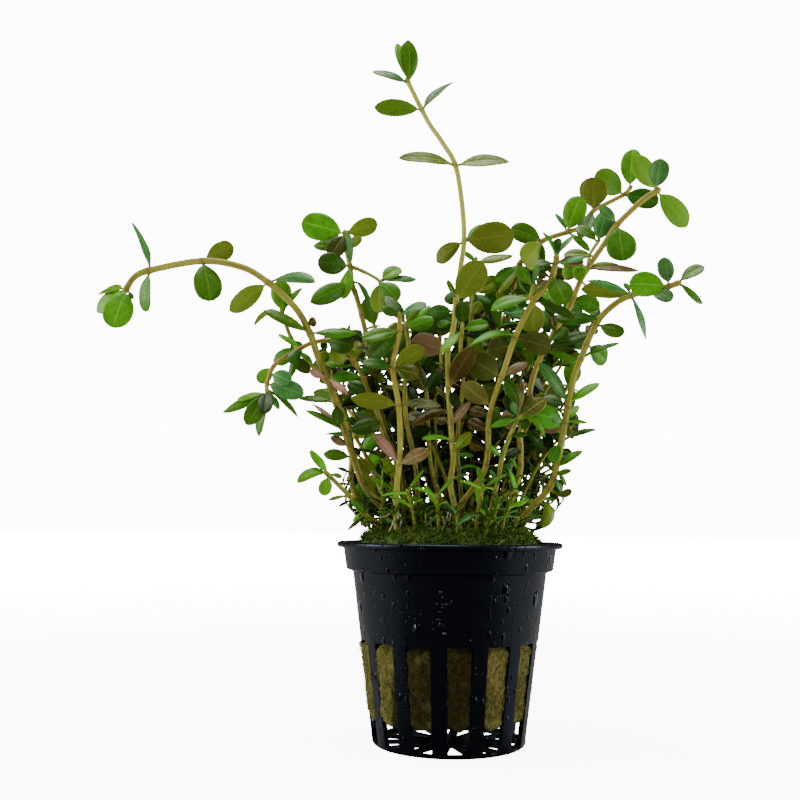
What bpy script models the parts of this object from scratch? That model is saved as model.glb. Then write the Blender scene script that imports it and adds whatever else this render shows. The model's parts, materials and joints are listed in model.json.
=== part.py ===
"""Potted dwarf rotala: a bunch of stem-plant shoots in a plug of rock wool, in a black net pot.

The pot stands on the origin, +Z up, and the bunch is seen from the front when looking along +Y.
Lengths in the tables are millimetres, and become metres where a shape is made.
"""
import math
import random

import bmesh
import bpy
from mathutils import Matrix, Vector
from mathutils.bvhtree import BVHTree

MM = 0.001
GAP = 0.3                    # clearance between pieces that touch

# Net pot
LIP_D = 55.0
POT_H = 48.0
LIP_T = 1.2
COLLAR_TOP_R = 25.9
COLLAR_FOOT_R = 25.2
COLLAR_FOOT_Z = 41.5
BODY_TOP_R = 23.6
BODY_TOP_Z = 40.9
BASE_R = 18.3
BASE_ROUND = 1.8
WALL_T = 1.1
FLOOR_T = 0.7
RIBS = 14
RIB_W = 3.5
FIRST_RIB = math.radians(-6.3)
SLOT_TOP_Z = 24.9
SLOT_FOOT_Z = 1.0
INNER_ROUND = 0.6
INNER_ROUND_TOP_Z = 3.0
WALL_SLOT_IN = 16.1
FLOOR_SLOT_IN = 6.0
FLOOR_SLOT_OUT = 15.9
SPOKE_W = 2.2                # width of the floor's bars between its slots
POT_STEPS = 28               # two facets to each rib and slot

# Rock wool plug and moss layer
PLUG_FOOT_Z = 6.2
PLUG_TOP_Z = 46.0
PLUG_TOP_R = 21.6
MOSS_TOP_Z = 51.0
MOSS_FOOT_R = 21.8
MOSS_TOP_R = 19.6
MOSS_LUMP = 0.5
MOSS_SIDES = 26

# The front view is read from an eye this far in front of the axis and this high above the floor.
EYE = Vector((0.0, -260.0, 54.0))

# Leaves
LEAF_THICK = 0.9
LEAF_BEND = 0.14             # how far a blade's middle rises, as a share of its length
NARROW_LEAF = 4.0            # a blade narrower than this has four corners, one narrower than
SMALL_LEAF = 7.0             # this has six, and the others have eight
FOOT_BREADTH = 0.12          # breadth at foot and tip, and the share of the length over which it grows
TIP_BREADTH = 0.55
BREADTH_RUN = 0.28
CLEARANCE = GAP + 0.05       # kept between a leaf and the other pieces
OWN_CLEARANCE = 0.1          # kept between a leaf and its own shoot, past this share of its length
OWN_START = 0.3
SHIFTS = (0, -2, 2, -4, 4, -6, 6, -9, 9, -12, 12)
TAPERS = (1.0, 0.8, 0.62)
FOOT_NUDGES = (0, 0.2, -0.2, 0.35, -0.35)

# Stems
BRANCH_SLANT = 0.25          # extra room at a branch's foot, which meets its parent aslant
THICK_STEM = 1.95            # a stem wider than this has six sides instead of four
LAST_PAIR = 0.15             # how far before a route's end the last leaves may stand, in route points

# Each shoot: its route from foot to tip as seen from the front (x, z), the depths that the route
# passes evenly, the stem's diameter at foot and tip, and its leaves. A leaf is (where on the route,
# tip x, tip z, tip's depth from its foot, width, roll[, middle x, middle z]), with roll 0 for the
# upper face turned to the viewer, 90 for edge-on and 180 for the underside.
SHOOTS = {
    "arching_shoot_left": {
        "route": [(-13.5, 51.6), (-16.8, 56.4), (-20.7, 60.9), (-23.4, 67), (-26.1, 74.8),
                  (-28.5, 82.2), (-30.9, 88.4), (-33.4, 94.2), (-35.4, 99.8), (-38.3, 105.2),
                  (-42, 109.3), (-46.3, 113), (-53, 117), (-63.5, 118.7), (-77, 116.3),
                  (-81.1, 114.4), (-83.3, 110.9)],
        "depth": (-8, -14, -18, -16, -13), "stem": (2.1, 1.2),
        "leaves": [
            (16, -86.1, 101.4, -3, 7.6, 10), (16, -90.4, 105.6, 2, 5, 45),
            (16, -90, 110.2, 4, 4.4, 80), (14, -82.1, 128.8, 0, 4.4, 80),
            (14, -77.5, 105.5, 0, 5, 55), (13, -55.7, 122.7, 3, 5.3, 165),
            (13, -61, 108.3, -2, 7.2, 10), (11, -34.4, 113, -4, 3.8, 40, -39, 116.5),
            (11, -56, 105.6, -2, 5.3, 160), (8, -47.4, 105.8, -3, 3.8, 45),
            (8, -23.5, 100, 3, 4, 50), (6, -35.3, 90.4, -3, 2.4, 30), (6, -25.6, 84.4, -2, 2.4, 40),
            (4, -36.1, 80.3, -2, 3, 60), (4, -34.3, 81.9, 2, 2.6, 60), (5, -38, 83.4, 2, 3, 50),
            (5, -28, 76.8, -2, 3.4, 20), (3.5, -29.8, 73.8, -1, 2.8, 40),
            (3.2, -31.5, 69.4, 1, 3.2, 25), (4, -17.5, 77.5, 3, 4.6, 20)]},
    "drooping_shoot_left": {
        "route": [(-10.8, 51.6), (-11.5, 58), (-12.6, 64.5), (-14, 69.5), (-16.3, 74.5),
                  (-18.3, 80.5), (-20.7, 86), (-22.9, 90.9), (-26.2, 94.8), (-30, 98),
                  (-34.5, 97.6), (-38, 96), (-41.2, 94.2), (-44.6, 91.4), (-46.1, 87),
                  (-45.8, 84)],
        "depth": (-7, -9, -11, -14, -20), "stem": (1.4, 1.0),
        "leaves": [
            (11, -43.4, 99.7, 0, 3.6, 85), (11, -44.5, 92.6, 2, 4.2, 20),
            (11, -40.4, 92.4, -4, 3.6, 5), (11, -40.3, 88.6, -1, 3, 50),
            (9, -27, 92.2, -2, 4.3, 170), (9, -25.2, 99.6, -3, 5, 20),
            (13, -48.2, 87.4, 3, 3.8, 165), (15, -53.5, 83, 0, 3, 55),
            (15, -57.1, 79.7, 1, 3.4, 45), (15, -51.1, 76.7, -3, 4.7, 5),
            (15, -47.9, 73.8, 1, 3.6, 50), (14.6, -46.7, 79.4, -5, 4, 5),
            (14.6, -42.9, 80.6, 0, 2.6, 50), (13.4, -40, 87.6, -3, 4.3, 10),
            (14, -36.8, 84.3, -2, 5.2, 15), (12, -35.2, 89.9, 2, 3.4, 165),
            (14.5, -38.2, 78.7, 2, 3, 85)]},
    "rear_shoot_left": {
        "route": [(-17.2, 51.6), (-21.3, 55.5), (-24.2, 61.8), (-24.4, 68.5), (-24.9, 75),
                  (-26.8, 81), (-30, 86.6), (-33.6, 90.5), (-37.1, 94.2), (-40.2, 98.7),
                  (-43, 106.2)],
        "depth": (-1, 0, 2, 4), "stem": (1.7, 1.0),
        "leaves": [
            (10, -43.3, 113.7, -1, 5.4, 10), (10, -37.7, 111.6, 2, 3.4, 65),
            (10, -49.7, 102, 0, 2.8, 60, -46.8, 107), (9, -38.3, 94.5, 2, 4.2, 20)]},
    "low_shoot_left": {
        "route": [(-16.8, 51.6), (-21, 54.8), (-25.3, 59.5), (-31, 65)],
        "depth": (-8, -14, -20), "stem": (1.5, 1.1),
        "leaves": [
            (3, -34.8, 70.4, 0, 3.2, 45), (3, -26.8, 64, 1, 2.6, 60),
            (3, -37.9, 62.2, -2, 3.2, 35, -34, 66.6), (3, -31.3, 59.1, -2, 3.4, 5),
            (1.9, -30, 58, 0, 1.6, 55)]},
    "crown_shoot_left": {
        "route": [(-9, 51.6), (-10.3, 58), (-13, 67), (-16, 76), (-18.6, 85), (-20.2, 94),
                  (-21.5, 101), (-23.6, 108.8), (-25, 112.9), (-25.5, 117.2), (-26.6, 122),
                  (-27, 126.3)],
        "depth": (-1, -1, 0, 2), "stem": (1.7, 1.3),
        "leaves": [
            (11, -38.1, 128.8, -2, 7.2, 10), (11, -18.7, 128.5, 2, 5.6, 145),
            (11, -30.5, 119.8, -3, 5, 10), (10, -34.9, 122.6, 1, 3.4, 30),
            (9, -26.3, 126.8, -3, 3.4, 60), (10, -22.6, 124.6, 3, 3, 150),
            (9, -33.8, 118.3, -2, 5.7, 15), (9, -27, 108.8, -3, 4.6, 40),
            (8, -35.4, 107.9, -3, 5, 10), (8, -19.3, 103.9, -2, 2.6, 75, -22, 114.8)]},
    "crown_branch_left": {
        "parent": "crown_shoot_left",
        "route": [(-25.5, 117.2), (-23.5, 116.5), (-20, 114.8), (-17.5, 113.1)],
        "depth": (0.9, 0, -3), "stem": (1.1, 0.9),
        "leaves": [
            (3, -8.7, 113.8, 2, 3.6, 75), (3, -12.7, 116.7, 4, 4.2, 35),
            (3, -13.2, 108.4, -3, 4.9, 5), (3, -18.2, 105.2, -1, 4.4, 155)]},
    "front_shoot_left": {
        "route": [(-13, 51.6), (-13.2, 57.3), (-13, 63), (-12.5, 67.8), (-12.3, 73.2),
                  (-12.8, 81.7), (-14.3, 91), (-12.8, 100.4), (-12.9, 104.9)],
        "depth": (-13, -15, -20), "stem": (1.6, 1.1),
        "leaves": [
            (8, -6, 107.5, -1, 3.6, 50), (8, -17.2, 106.2, -2, 3, 45), (7, -22.1, 98.3, -3, 4.4, 40),
            (7, -20, 94, 2, 5, 20), (6, -6.6, 96.2, 1, 4.8, 160), (6, -7.8, 89.4, -2, 4.2, 20),
            (6, -22, 92.5, -2, 3.6, 45), (5, -24.7, 83.4, -2, 4.6, 155), (5, -2.3, 81.5, -2, 3.8, 50),
            (4.2, -15.6, 80, -2, 3, 30), (2.8, -19.1, 74.5, -1, 3, 35),
            (2.8, -5.1, 70.4, -2, 3.6, 20), (2, -17.1, 68.3, 0, 3.4, 30),
            (1.5, -19.5, 63.7, 0, 1.8, 50)]},
    "middle_shoot_left": {
        "route": [(-7.5, 51.6), (-8, 59.8), (-8.5, 66.6), (-9.9, 73.4), (-11.1, 79.7), (-11.2, 90),
                  (-10.5, 97.1), (-11.3, 102.6)],
        "depth": (-7, -9, -12), "stem": (1.5, 1.1),
        "leaves": [
            (6.7, -4.2, 103.6, -2, 3.8, 20), (7, -5, 106.9, 2, 3.6, 40),
            (7, -16.5, 109.4, 3, 4, 30), (3, -5.2, 76.5, 1, 3.6, 150)]},
    "small_shoot": {
        "route": [(0, 51.6), (-2.6, 59.8), (-3.9, 63.2), (-5, 69.5), (-5.5, 77), (-5.9, 86)],
        "depth": (-6, -7, -9), "stem": (1.2, 0.9),
        "leaves": [
            (5, -9.8, 91.8, -1, 4.4, 20), (5, -2.2, 91.2, 0, 4, 40), (4, -10.8, 79.4, 2, 3.8, 30)]},
    "tall_shoot": {
        "route": [(2.4, 51.6), (1.2, 57), (0.2, 62), (0.9, 68.5), (0.5, 73), (0, 80), (-0.4, 86),
                  (-0.55, 95.3), (0.9, 102), (1.4, 108), (2.5, 116.5), (3.4, 123.6), (2.9, 133),
                  (1.2, 143.4), (-2, 149.3), (-5.3, 154.2), (-7.5, 158.3), (-11.5, 166.6)],
        "depth": (-14, -13, -13, -11, -9), "stem": (1.9, 1.1),
        "leaves": [
            (17, -11.2, 177.2, -1, 5, 15), (17, -14.1, 176.3, 2, 4.4, 35), (17, -20.4, 168.8, -1, 3.8, 60),
            (16, -19.8, 159.2, -1, 5.4, 145), (16, 0.4, 165.6, 2, 4.4, 75),
            (13, -13.3, 145.6, -1, 4.8, 55), (13, 14.8, 144.3, -1, 4.8, 50),
            (11, -3.5, 118.5, -2, 4.6, 150), (11, 16, 125.3, -2, 8.5, 165), (11, 10, 127.6, 3, 4, 30),
            (9, 8.1, 118.2, -3, 7.3, 170), (9, -0.7, 113.6, 1, 3, 65), (7, -9.6, 98.1, -2, 5.9, 165),
            (6, 5.8, 96.4, -2, 5.2, 165), (6, 2.2, 80.8, 1, 2.6, 20), (5, -9.7, 76.5, -2, 3.4, 40, -4, 82),
            (4.6, -3.3, 78.4, 2, 2.6, 30), (4.5, 5.2, 82.6, -2, 3, 40),
            (4, -6.9, 73.4, -2, 2.6, 60, -3, 74.8), (3.4, 5.4, 74.9, -2, 2.9, 20)]},
    "middle_shoot_rear": {
        "route": [(4.6, 51.6), (5.3, 60), (5.5, 70), (5.3, 80), (4.9, 90), (5.1, 100), (5.8, 110),
                  (6.35, 119.2)],
        "depth": (3, 4, 7), "stem": (1.7, 1.2),
        "leaves": [
            (7, 15.6, 119.9, 0, 4, 55), (7, 3.4, 121, 1, 3, 60), (6, 12.6, 113.6, 1, 4.6, 20),
            (6, -1.6, 108.6, 1, 4.2, 40)]},
    "small_shoot_front": {
        "route": [(3.5, 51.6), (2.8, 60), (1.9, 70), (2.3, 79), (3.2, 87), (2.6, 95.6), (3.1, 102.4)],
        "depth": (-4, -8, -19), "stem": (1.2, 1.0),
        "leaves": [
            (6, 3.1, 108.2, -1, 3.9, 10), (5.7, -2.3, 94.8, -3, 3, 40), (5.8, 9.6, 102.2, -1, 3.4, 30),
            (5.6, 9.2, 99.6, 2, 3, 30)]},
    "crown_shoot_right": {
        "route": [(7.6, 51.6), (8.4, 60), (9.4, 70), (10.8, 80), (12.2, 90), (13.8, 100),
                  (15.7, 110.5), (17.2, 117.3), (19.5, 119.8), (23.3, 123.7), (29.4, 125.9),
                  (33, 127.3), (36, 131.3), (43.6, 135.5), (45.6, 137.6)],
        "depth": (5, 6, 8, 10, 12), "stem": (1.9, 1.2),
        "leaves": [
            (7, 11.4, 113.2, -2, 4, 30), (9, 15.2, 126.9, -2, 5.4, 20), (9, 18.7, 117.6, -3, 6.3, 160),
            (9, 22.2, 116.8, 1, 4.4, 40), (10, 32.8, 135.2, -1, 6, 10), (10, 26.6, 130.7, 2, 2.6, 60),
            (10, 35, 121, -1, 3, 55), (12, 36.3, 140.2, -1, 7.4, 165), (12, 33, 124.3, -2, 4.4, 35),
            (13, 36.7, 141.2, 2, 6.5, 160), (13, 52.4, 133.6, -2, 5.2, 15), (14, 46.2, 147.4, -1, 5.3, 10)]},
    "front_shoot_right": {
        "route": [(1.4, 51.6), (2.5, 56.6), (5.6, 61), (8.4, 65.2), (9.4, 70.5), (9.6, 77),
                  (10.6, 82.5), (12.8, 88.8), (14.2, 93), (16.2, 98.9), (18.6, 104), (21, 108.4),
                  (25, 113.3), (26.4, 117.7), (26.7, 119.7)],
        "depth": (-9, -14, -21, -26), "stem": (1.9, 1.4),
        "leaves": [
            (14, 27.2, 124.3, 0, 3, 40), (14, 31.1, 125.2, 2, 3.2, 70), (14, 23.3, 125.8, -1, 2.6, 80),
            (13, 33.8, 119.3, -2, 3.2, 60), (13, 21.6, 117.6, -1, 2.8, 50), (12.3, 29, 107.6, -3, 6.3, 10),
            (11, 20.5, 100.2, 2, 6.5, 165), (11, 31.2, 103.5, -2, 3.8, 45),
            (9, 4.9, 96.8, -3, 3.4, 60, 12.5, 102.8), (9, 24.9, 96.2, -2, 5.8, 160),
            (7.3, 19.3, 96.3, -3, 3.6, 40), (7, 5.2, 93.4, 2, 7.4, 165), (7, 17, 83.2, -1, 3.8, 30),
            (5.8, 3.1, 87, -3, 5, 165), (4.8, 17, 80, -2, 2.8, 50), (5.4, 5, 80.7, 1, 3.2, 30),
            (4.7, 4.6, 78, 2, 3.4, 20), (4, 4.8, 72.1, -1, 2.6, 30)]},
    "front_branch_right": {
        "parent": "front_shoot_right",
        "route": [(20.6, 107.6), (20.1, 109.6), (20.9, 112)],
        "depth": (-22.8, -25), "stem": (1.0, 0.9),
        "leaves": [(2, 16.7, 117, -1, 3.4, 35), (2, 24.4, 113.4, 1, 2.6, 70)]},
    "high_branch_right": {
        "parent": "tall_shoot_right",
        "route": [(34.3, 116.3), (35.1, 120.2), (37.4, 123.8)],
        "depth": (-3.6, -1, 1), "stem": (1.0, 0.9),
        "leaves": [(2, 39.8, 131.7, -1, 5.4, 15), (2, 31.8, 127.2, 2, 3.4, 40)]},
    "tall_shoot_right": {
        "route": [(8.3, 51.6), (11, 57), (15.2, 60.5), (17.2, 65), (17.5, 70.3), (17.4, 75),
                  (19.2, 81), (20.3, 87.5), (22.4, 93.5), (26, 100.3), (30, 107), (32, 112),
                  (34.3, 116.3), (38.6, 122.8), (42, 127.8), (48.2, 133.9), (52.6, 136.9)],
        "depth": (-6, -6, -6, -5, -4), "stem": (2.0, 1.4),
        "leaves": [
            (16, 46.8, 145.6, 1, 5.8, 155), (16, 53.3, 144.9, -1, 5.2, 20), (16, 59.4, 127.4, -2, 5.8, 160),
            (14, 37.5, 132.3, -1, 4, 50), (14, 43.4, 118.5, -2, 7.6, 10), (12, 47.1, 115.9, -1, 3.8, 60),
            (12, 42, 117.5, 3, 3.6, 60), (12, 32.1, 113.4, -2, 3.6, 30, 32.6, 119.5),
            (12, 27.4, 118, -3, 3.6, 60), (12.5, 28.5, 119.9, 1, 3.8, 45), (10.4, 36.8, 105.5, 2, 3.8, 30),
            (8.6, 29.4, 101, -1, 4, 30), (9, 25.3, 104.2, -2, 2.8, 25), (8.4, 35.2, 99.9, -2, 4, 35),
            (8.3, 31.6, 92.7, 0, 3, 55), (8.3, 32.2, 94.9, 3, 3, 145), (6.3, 24.6, 82.8, -2, 4, 15)]},
    "arching_shoot_right": {
        "route": [(14.5, 51.6), (17.3, 54), (21, 57.6), (24.4, 61.4), (26.1, 66), (27.6, 73),
                  (28.5, 77.7), (29.3, 82.2), (31, 89.5), (32.7, 94), (34.9, 99.3), (37.5, 104),
                  (41.5, 107.7), (45.1, 109.6), (49.8, 110.9), (54.5, 111.9), (57.2, 112.9)],
        "depth": (-5, -9, -15, -20, -24), "stem": (2.1, 1.3),
        "leaves": [
            (16, 63.3, 117, -1, 4.2, 45), (16, 62.7, 107.5, 0, 4, 80), (15, 53.4, 119.3, -1, 4.4, 20),
            (14, 55.3, 108.4, -3, 4.2, 35), (15, 44.8, 112.5, 2, 6.5, 15),
            (13, 34.3, 113.4, -3, 3.4, 60, 42, 112.6), (13, 48.6, 98.6, -1, 3.4, 60),
            (13, 32.8, 111.2, 4, 5, 145), (10.9, 26.4, 103.6, -2, 4.6, 40), (10.6, 43.3, 100, -2, 4.2, 35),
            (8.9, 42.1, 97.5, -2, 2.8, 65), (9.6, 38.8, 93, 2, 5, 15), (7, 22.2, 92.5, -2, 4.2, 40),
            (7, 37, 87.4, -1, 3.6, 50), (6.9, 22.6, 83.4, 2, 4, 30), (6, 21.2, 79.7, -1, 6, 15),
            (5.4, 21.5, 77, 1, 3, 145), (6, 31.8, 81.8, -1, 2.6, 40), (6, 33.8, 77.6, 0, 2.2, 60),
            (5, 36.1, 75.9, -1, 2.6, 60), (5, 25, 67.7, 0, 3.4, 30), (4, 32.7, 70.6, -1, 3, 50),
            (3.6, 29.9, 65.8, -1, 2, 40), (3, 29.7, 61.2, 0, 2.8, 60, 27.6, 58.4),
            (2, 22.5, 51.6, -3, 3.2, 40, 27.5, 58), (1, 21.8, 54.4, 2, 2.6, 40)]},
    "inner_shoot_right": {
        "route": [(9.2, 51.6), (10.6, 58), (12.1, 64), (12.9, 68.6), (14.8, 74), (17.2, 79.2)],
        "depth": (-12, -14, -17), "stem": (1.2, 1.1),
        "leaves": [
            (5, 23.5, 74, -1, 2.4, 50, 21, 81), (5, 13.8, 84.3, -1, 3.4, 30), (5, 20.6, 84.6, 2, 3, 40),
            (4, 19.2, 74.5, -2, 2, 50), (3, 9.8, 71.8, -2, 1.9, 40), (3, 17.3, 70.8, 2, 3, 30)]},
    "low_shoot_right": {
        "route": [(16.2, 51.6), (18.6, 57.5), (20, 63.5), (21.6, 66.8), (23.6, 70.6), (25.1, 74)],
        "depth": (2, 2, 0), "stem": (1.2, 0.9),
        "leaves": [
            (3, 20.5, 73.3, 0, 2.6, 15), (3.9, 19, 75.7, -2, 2.6, 40), (2.2, 17.6, 66, 1, 2.8, 30)]},
}

# Shoots of the bunch's rear half: angle round the axis from +X towards +Y, how far out the foot
# stands, height of the tip, and how far the tip leans outwards.
REAR_SHOOTS = [
    (12, 15, 88, 16), (58, 10, 112, 17), (40, 16, 84, 20), (82, 14, 104, 22), (98, 5, 104, 16),
    (104, 16, 78, 19), (128, 11, 108, 24), (150, 16, 86, 18), (166, 9, 99, 20), (-168, 15, 74, 9),
]
REAR_STEM = (1.5, 1.0)
REAR_POINTS = 5              # stretches in a rear shoot's route
REAR_STEP = 13.0             # length of stem between two pairs of leaves
REAR_FIRST = 14.0            # length of bare stem below the first pair
REAR_LEAF = (6.5, 9.0)       # shortest and longest
REAR_LEAF_RATIO = 0.56       # width to length
REAR_RISE = 32               # degrees by which the leaves rise from square to the stem
LEAN_POWER = 1.6

# Low sprigs: angle and distance of the foot, height, and lean outwards.
SPRIGS = [
    (-117, 17.5, 9, 4), (-98, 17.5, 8, 4), (-70, 17.5, 10, 5), (-47, 17.8, 9, 5), (-8, 18, 8, 5),
    (60, 16, 11, 5), (118, 14.5, 12, 6),
]
SPRIG_STEM = (0.9, 0.7)
SPRIG_POINTS = 2
SPRIG_STEP = 5.0
SPRIG_LEAF = (6.4, 6.4)
SPRIG_LEAF_RATIO = 0.235
SPRIG_RISE = 30

# Spread of the rule-made leaves, and the other places each may take where there is no room
TURN_SPREAD = 12
RISE_SPREAD = 14
TURNS = (0, 14, -14, 28, -28, 42, -42)
SHORTER = (1.0, 0.8, 0.6)

LEAF_GREENS = [(0.10, 0.22, 0.03), (0.16, 0.24, 0.05), (0.07, 0.17, 0.03), (0.20, 0.20, 0.06)]
POT_BLACK = (0.012, 0.014, 0.02)
WOOL_OLIVE = (0.17, 0.15, 0.05)
MOSS_GREEN = (0.05, 0.09, 0.015)


def new_material(name, color, roughness, specular=0.5):
    mat = bpy.data.materials.new(name)
    mat.use_nodes = True
    shader = mat.node_tree.nodes["Principled BSDF"]
    shader.inputs["Base Color"].default_value = (*color, 1)
    shader.inputs["Roughness"].default_value = roughness
    shader.inputs["Metallic"].default_value = 0
    shader.inputs["Specular IOR Level"].default_value = specular
    return mat


def new_collection(name):
    collection = bpy.data.collections.new(name)
    bpy.context.scene.collection.children.link(collection)
    return collection


def add_object(name, data, collection, material=None):
    obj = bpy.data.objects.new(name, data)
    collection.objects.link(obj)
    if material:
        data.materials.clear()
        data.materials.append(material)
    return obj


def mesh_from(bm, name):
    mesh = bpy.data.meshes.new(name)
    bm.to_mesh(mesh)
    bm.free()
    return mesh


def evaluated_mesh(obj):
    depsgraph = bpy.context.evaluated_depsgraph_get()
    return bpy.data.meshes.new_from_object(obj.evaluated_get(depsgraph))


def is_one_body(mesh):
    """True if the mesh is closed and in one piece."""
    bm = bmesh.new()
    bm.from_mesh(mesh)
    bm.verts.ensure_lookup_table()
    closed = all(edge.is_manifold for edge in bm.edges)
    reached = {bm.verts[0]}
    front = [bm.verts[0]]
    while front:
        vert = front.pop()
        for edge in vert.link_edges:
            other = edge.other_vert(vert)
            if other not in reached:
                reached.add(other)
                front.append(other)
    whole = len(reached) == len(bm.verts)
    bm.free()
    return closed and whole


# Net pot

def wall_radius(z):
    """Outer radius of the body's wall below the collar."""
    return BASE_R + (BODY_TOP_R - BASE_R) * z / BODY_TOP_Z


def arc(cx, cz, radius, start, end, count):
    """Points on an arc in the profile plane, angles in degrees from +X to +Z."""
    angles = [math.radians(start + (end - start) * k / count) for k in range(count + 1)]
    return [(cx + radius * math.cos(a), cz + radius * math.sin(a)) for a in angles]


def pot_profile():
    """Closed section of the pot: up the inside, round the lip, and down the outside."""
    lip_r = LIP_D / 2
    inner = [
        (0, FLOOR_T), (BASE_R - WALL_T - INNER_ROUND, FLOOR_T),
        (wall_radius(INNER_ROUND_TOP_Z) - WALL_T, INNER_ROUND_TOP_Z),
        (BODY_TOP_R - WALL_T, BODY_TOP_Z + 0.4), (COLLAR_FOOT_R - WALL_T, COLLAR_FOOT_Z + 1),
        (COLLAR_TOP_R - WALL_T, POT_H),
    ]
    lip = arc(lip_r - LIP_T / 2, POT_H - LIP_T / 2, LIP_T / 2, 90, -90, 3)
    outer = [
        (COLLAR_TOP_R, POT_H - LIP_T - 0.2), (COLLAR_FOOT_R, COLLAR_FOOT_Z),
        (BODY_TOP_R, BODY_TOP_Z), (wall_radius(BASE_ROUND), BASE_ROUND),
    ]
    base = arc(BASE_R - BASE_ROUND, BASE_ROUND, BASE_ROUND, -20, -90, 2)
    return inner + lip + outer + base + [(0, 0)]


def turned(name, profile, steps, collection, material):
    """Solid turned about Z from a profile of (radius, z) points, outer side top to bottom."""
    bm = bmesh.new()
    verts = [bm.verts.new((r * MM, 0, z * MM)) for r, z in profile]
    for start, end in zip(verts, verts[1:]):
        bm.edges.new((start, end))
    obj = add_object(name, mesh_from(bm, name), collection, material)
    screw = obj.modifiers.new("Turn", "SCREW")
    screw.axis = "Z"
    screw.steps = screw.render_steps = steps
    screw.use_merge_vertices = True
    screw.merge_threshold = 0.00001
    screw.use_smooth_shade = False
    return obj


def slot_prism(bm, middle, rib, r_in, r_out, z_low, z_high):
    """Upright prism between two ribs: its sides keep half a rib's width from each rib's middle."""
    corners = []
    for radius in (r_in, r_out):
        swing = math.pi / RIBS - math.asin(rib / 2 / radius)
        for angle in (middle - swing, middle + swing):
            corners.append((radius * math.sin(angle), -radius * math.cos(angle)))
    inner_left, inner_right, outer_left, outer_right = corners
    outline = [inner_left, outer_left, outer_right, inner_right]
    low, high = [[bm.verts.new((x * MM, y * MM, z * MM)) for x, y in outline]
                 for z in (z_low, z_high)]
    bm.faces.new(low)
    bm.faces.new(high)
    for k in range(4):
        after = (k + 1) % 4
        bm.faces.new((low[after], low[k], high[k], high[after]))


def slot_cutter(collection):
    """All the slots of the wall and the floor, as one cutter."""
    bm = bmesh.new()
    for k in range(RIBS):
        middle = FIRST_RIB + (k + 0.5) * 2 * math.pi / RIBS
        slot_prism(bm, middle, RIB_W, WALL_SLOT_IN, LIP_D / 2, SLOT_FOOT_Z, SLOT_TOP_Z)
        slot_prism(bm, middle, SPOKE_W, FLOOR_SLOT_IN, FLOOR_SLOT_OUT, -1, FLOOR_T + 0.6)
    bmesh.ops.recalc_face_normals(bm, faces=bm.faces)
    cutter = add_object("slot_cutter", mesh_from(bm, "slot_cutter"), collection)
    cutter.hide_render = True
    cutter.display_type = "WIRE"
    return cutter


def net_pot(parts, cutters):
    plastic = new_material("net_pot_plastic", POT_BLACK, 0.35)
    pot = turned("net_pot", pot_profile(), POT_STEPS, parts, plastic)
    pot.rotation_euler.z = FIRST_RIB
    cut = pot.modifiers.new("Slots", "BOOLEAN")
    cut.operation = "DIFFERENCE"
    cut.object = slot_cutter(cutters)
    return pot


# Rock wool plug and moss layer

def rockwool_plug(parts):
    low_r = wall_radius(PLUG_FOOT_Z) - WALL_T - GAP
    wide_z = BODY_TOP_Z * (PLUG_TOP_R + WALL_T + GAP - BASE_R) / (BODY_TOP_R - BASE_R)
    profile = [
        (0, PLUG_TOP_Z), (PLUG_TOP_R, PLUG_TOP_Z), (PLUG_TOP_R - 0.1, wide_z - 1),
        (low_r, PLUG_FOOT_Z), (0, PLUG_FOOT_Z),
    ]
    return turned("rockwool_plug", profile, POT_STEPS, parts,
                  new_material("rockwool", WOOL_OLIVE, 0.95, 0.2))


def moss_layer(parts):
    """Low pad with a rounded, lumpy edge and a flat top for the stems to stand on."""
    foot = PLUG_TOP_Z + GAP
    rows = [(MOSS_FOOT_R - 0.6, foot), (MOSS_FOOT_R, foot + 1.4), (MOSS_FOOT_R - 0.4, foot + 2.8),
            (MOSS_TOP_R + 0.9, MOSS_TOP_Z - 0.7), (MOSS_TOP_R, MOSS_TOP_Z)]
    rng = random.Random(5)
    lumps = [rng.uniform(-1, 1) * MOSS_LUMP for _ in range(MOSS_SIDES)]
    bm = bmesh.new()
    loops = []
    for row, (radius, z) in enumerate(rows):
        edge_row = row in (0, len(rows) - 1)
        loop = []
        for k, lump in enumerate(lumps):
            angle = 2 * math.pi * k / MOSS_SIDES
            bulge = lump + rng.uniform(-0.5, 0.5) * MOSS_LUMP
            reach = (radius if edge_row else radius + bulge) * MM
            loop.append(bm.verts.new((reach * math.cos(angle), reach * math.sin(angle), z * MM)))
        loops.append(loop)
    bm.faces.new(list(reversed(loops[0])))
    bm.faces.new(loops[-1])
    for low, high in zip(loops, loops[1:]):
        for k in range(MOSS_SIDES):
            after = (k + 1) % MOSS_SIDES
            bm.faces.new((low[k], low[after], high[after], high[k]))
    bmesh.ops.triangulate(bm, faces=bm.faces)
    return add_object("moss_layer", mesh_from(bm, "moss_layer"), parts,
                      new_material("moss", MOSS_GREEN, 0.9, 0.3))


# Routes of the stems

def seen(x, z, y):
    """Point in millimetres at depth y that looks to be at x, z in the front view."""
    share = (y - EYE.y) / -EYE.y
    return EYE + (Vector((x, 0, z)) - EYE) * share


def spread(values, count):
    """The values spread evenly over count places, straight between them."""
    result = []
    for k in range(count):
        at = k / (count - 1) * (len(values) - 1)
        low = min(int(at), len(values) - 2)
        result.append(values[low] + (values[low + 1] - values[low]) * (at - low))
    return result


def on_route(route, at):
    """Point on a route at a place such as 3.5, halfway from its fourth to its fifth point."""
    at = min(at, len(route) - 1 - LAST_PAIR)
    low = int(at)
    return route[low].lerp(route[low + 1], at - low)


def stand_on_moss(route, widths):
    """Lift a route's first point so that its slanted foot clears the moss by the gap."""
    run = (route[1] - route[0]).normalized()
    slant = math.hypot(run.x, run.y)
    route[0].z = MOSS_TOP_Z + GAP + widths[0] / 2 * slant
    return route


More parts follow.
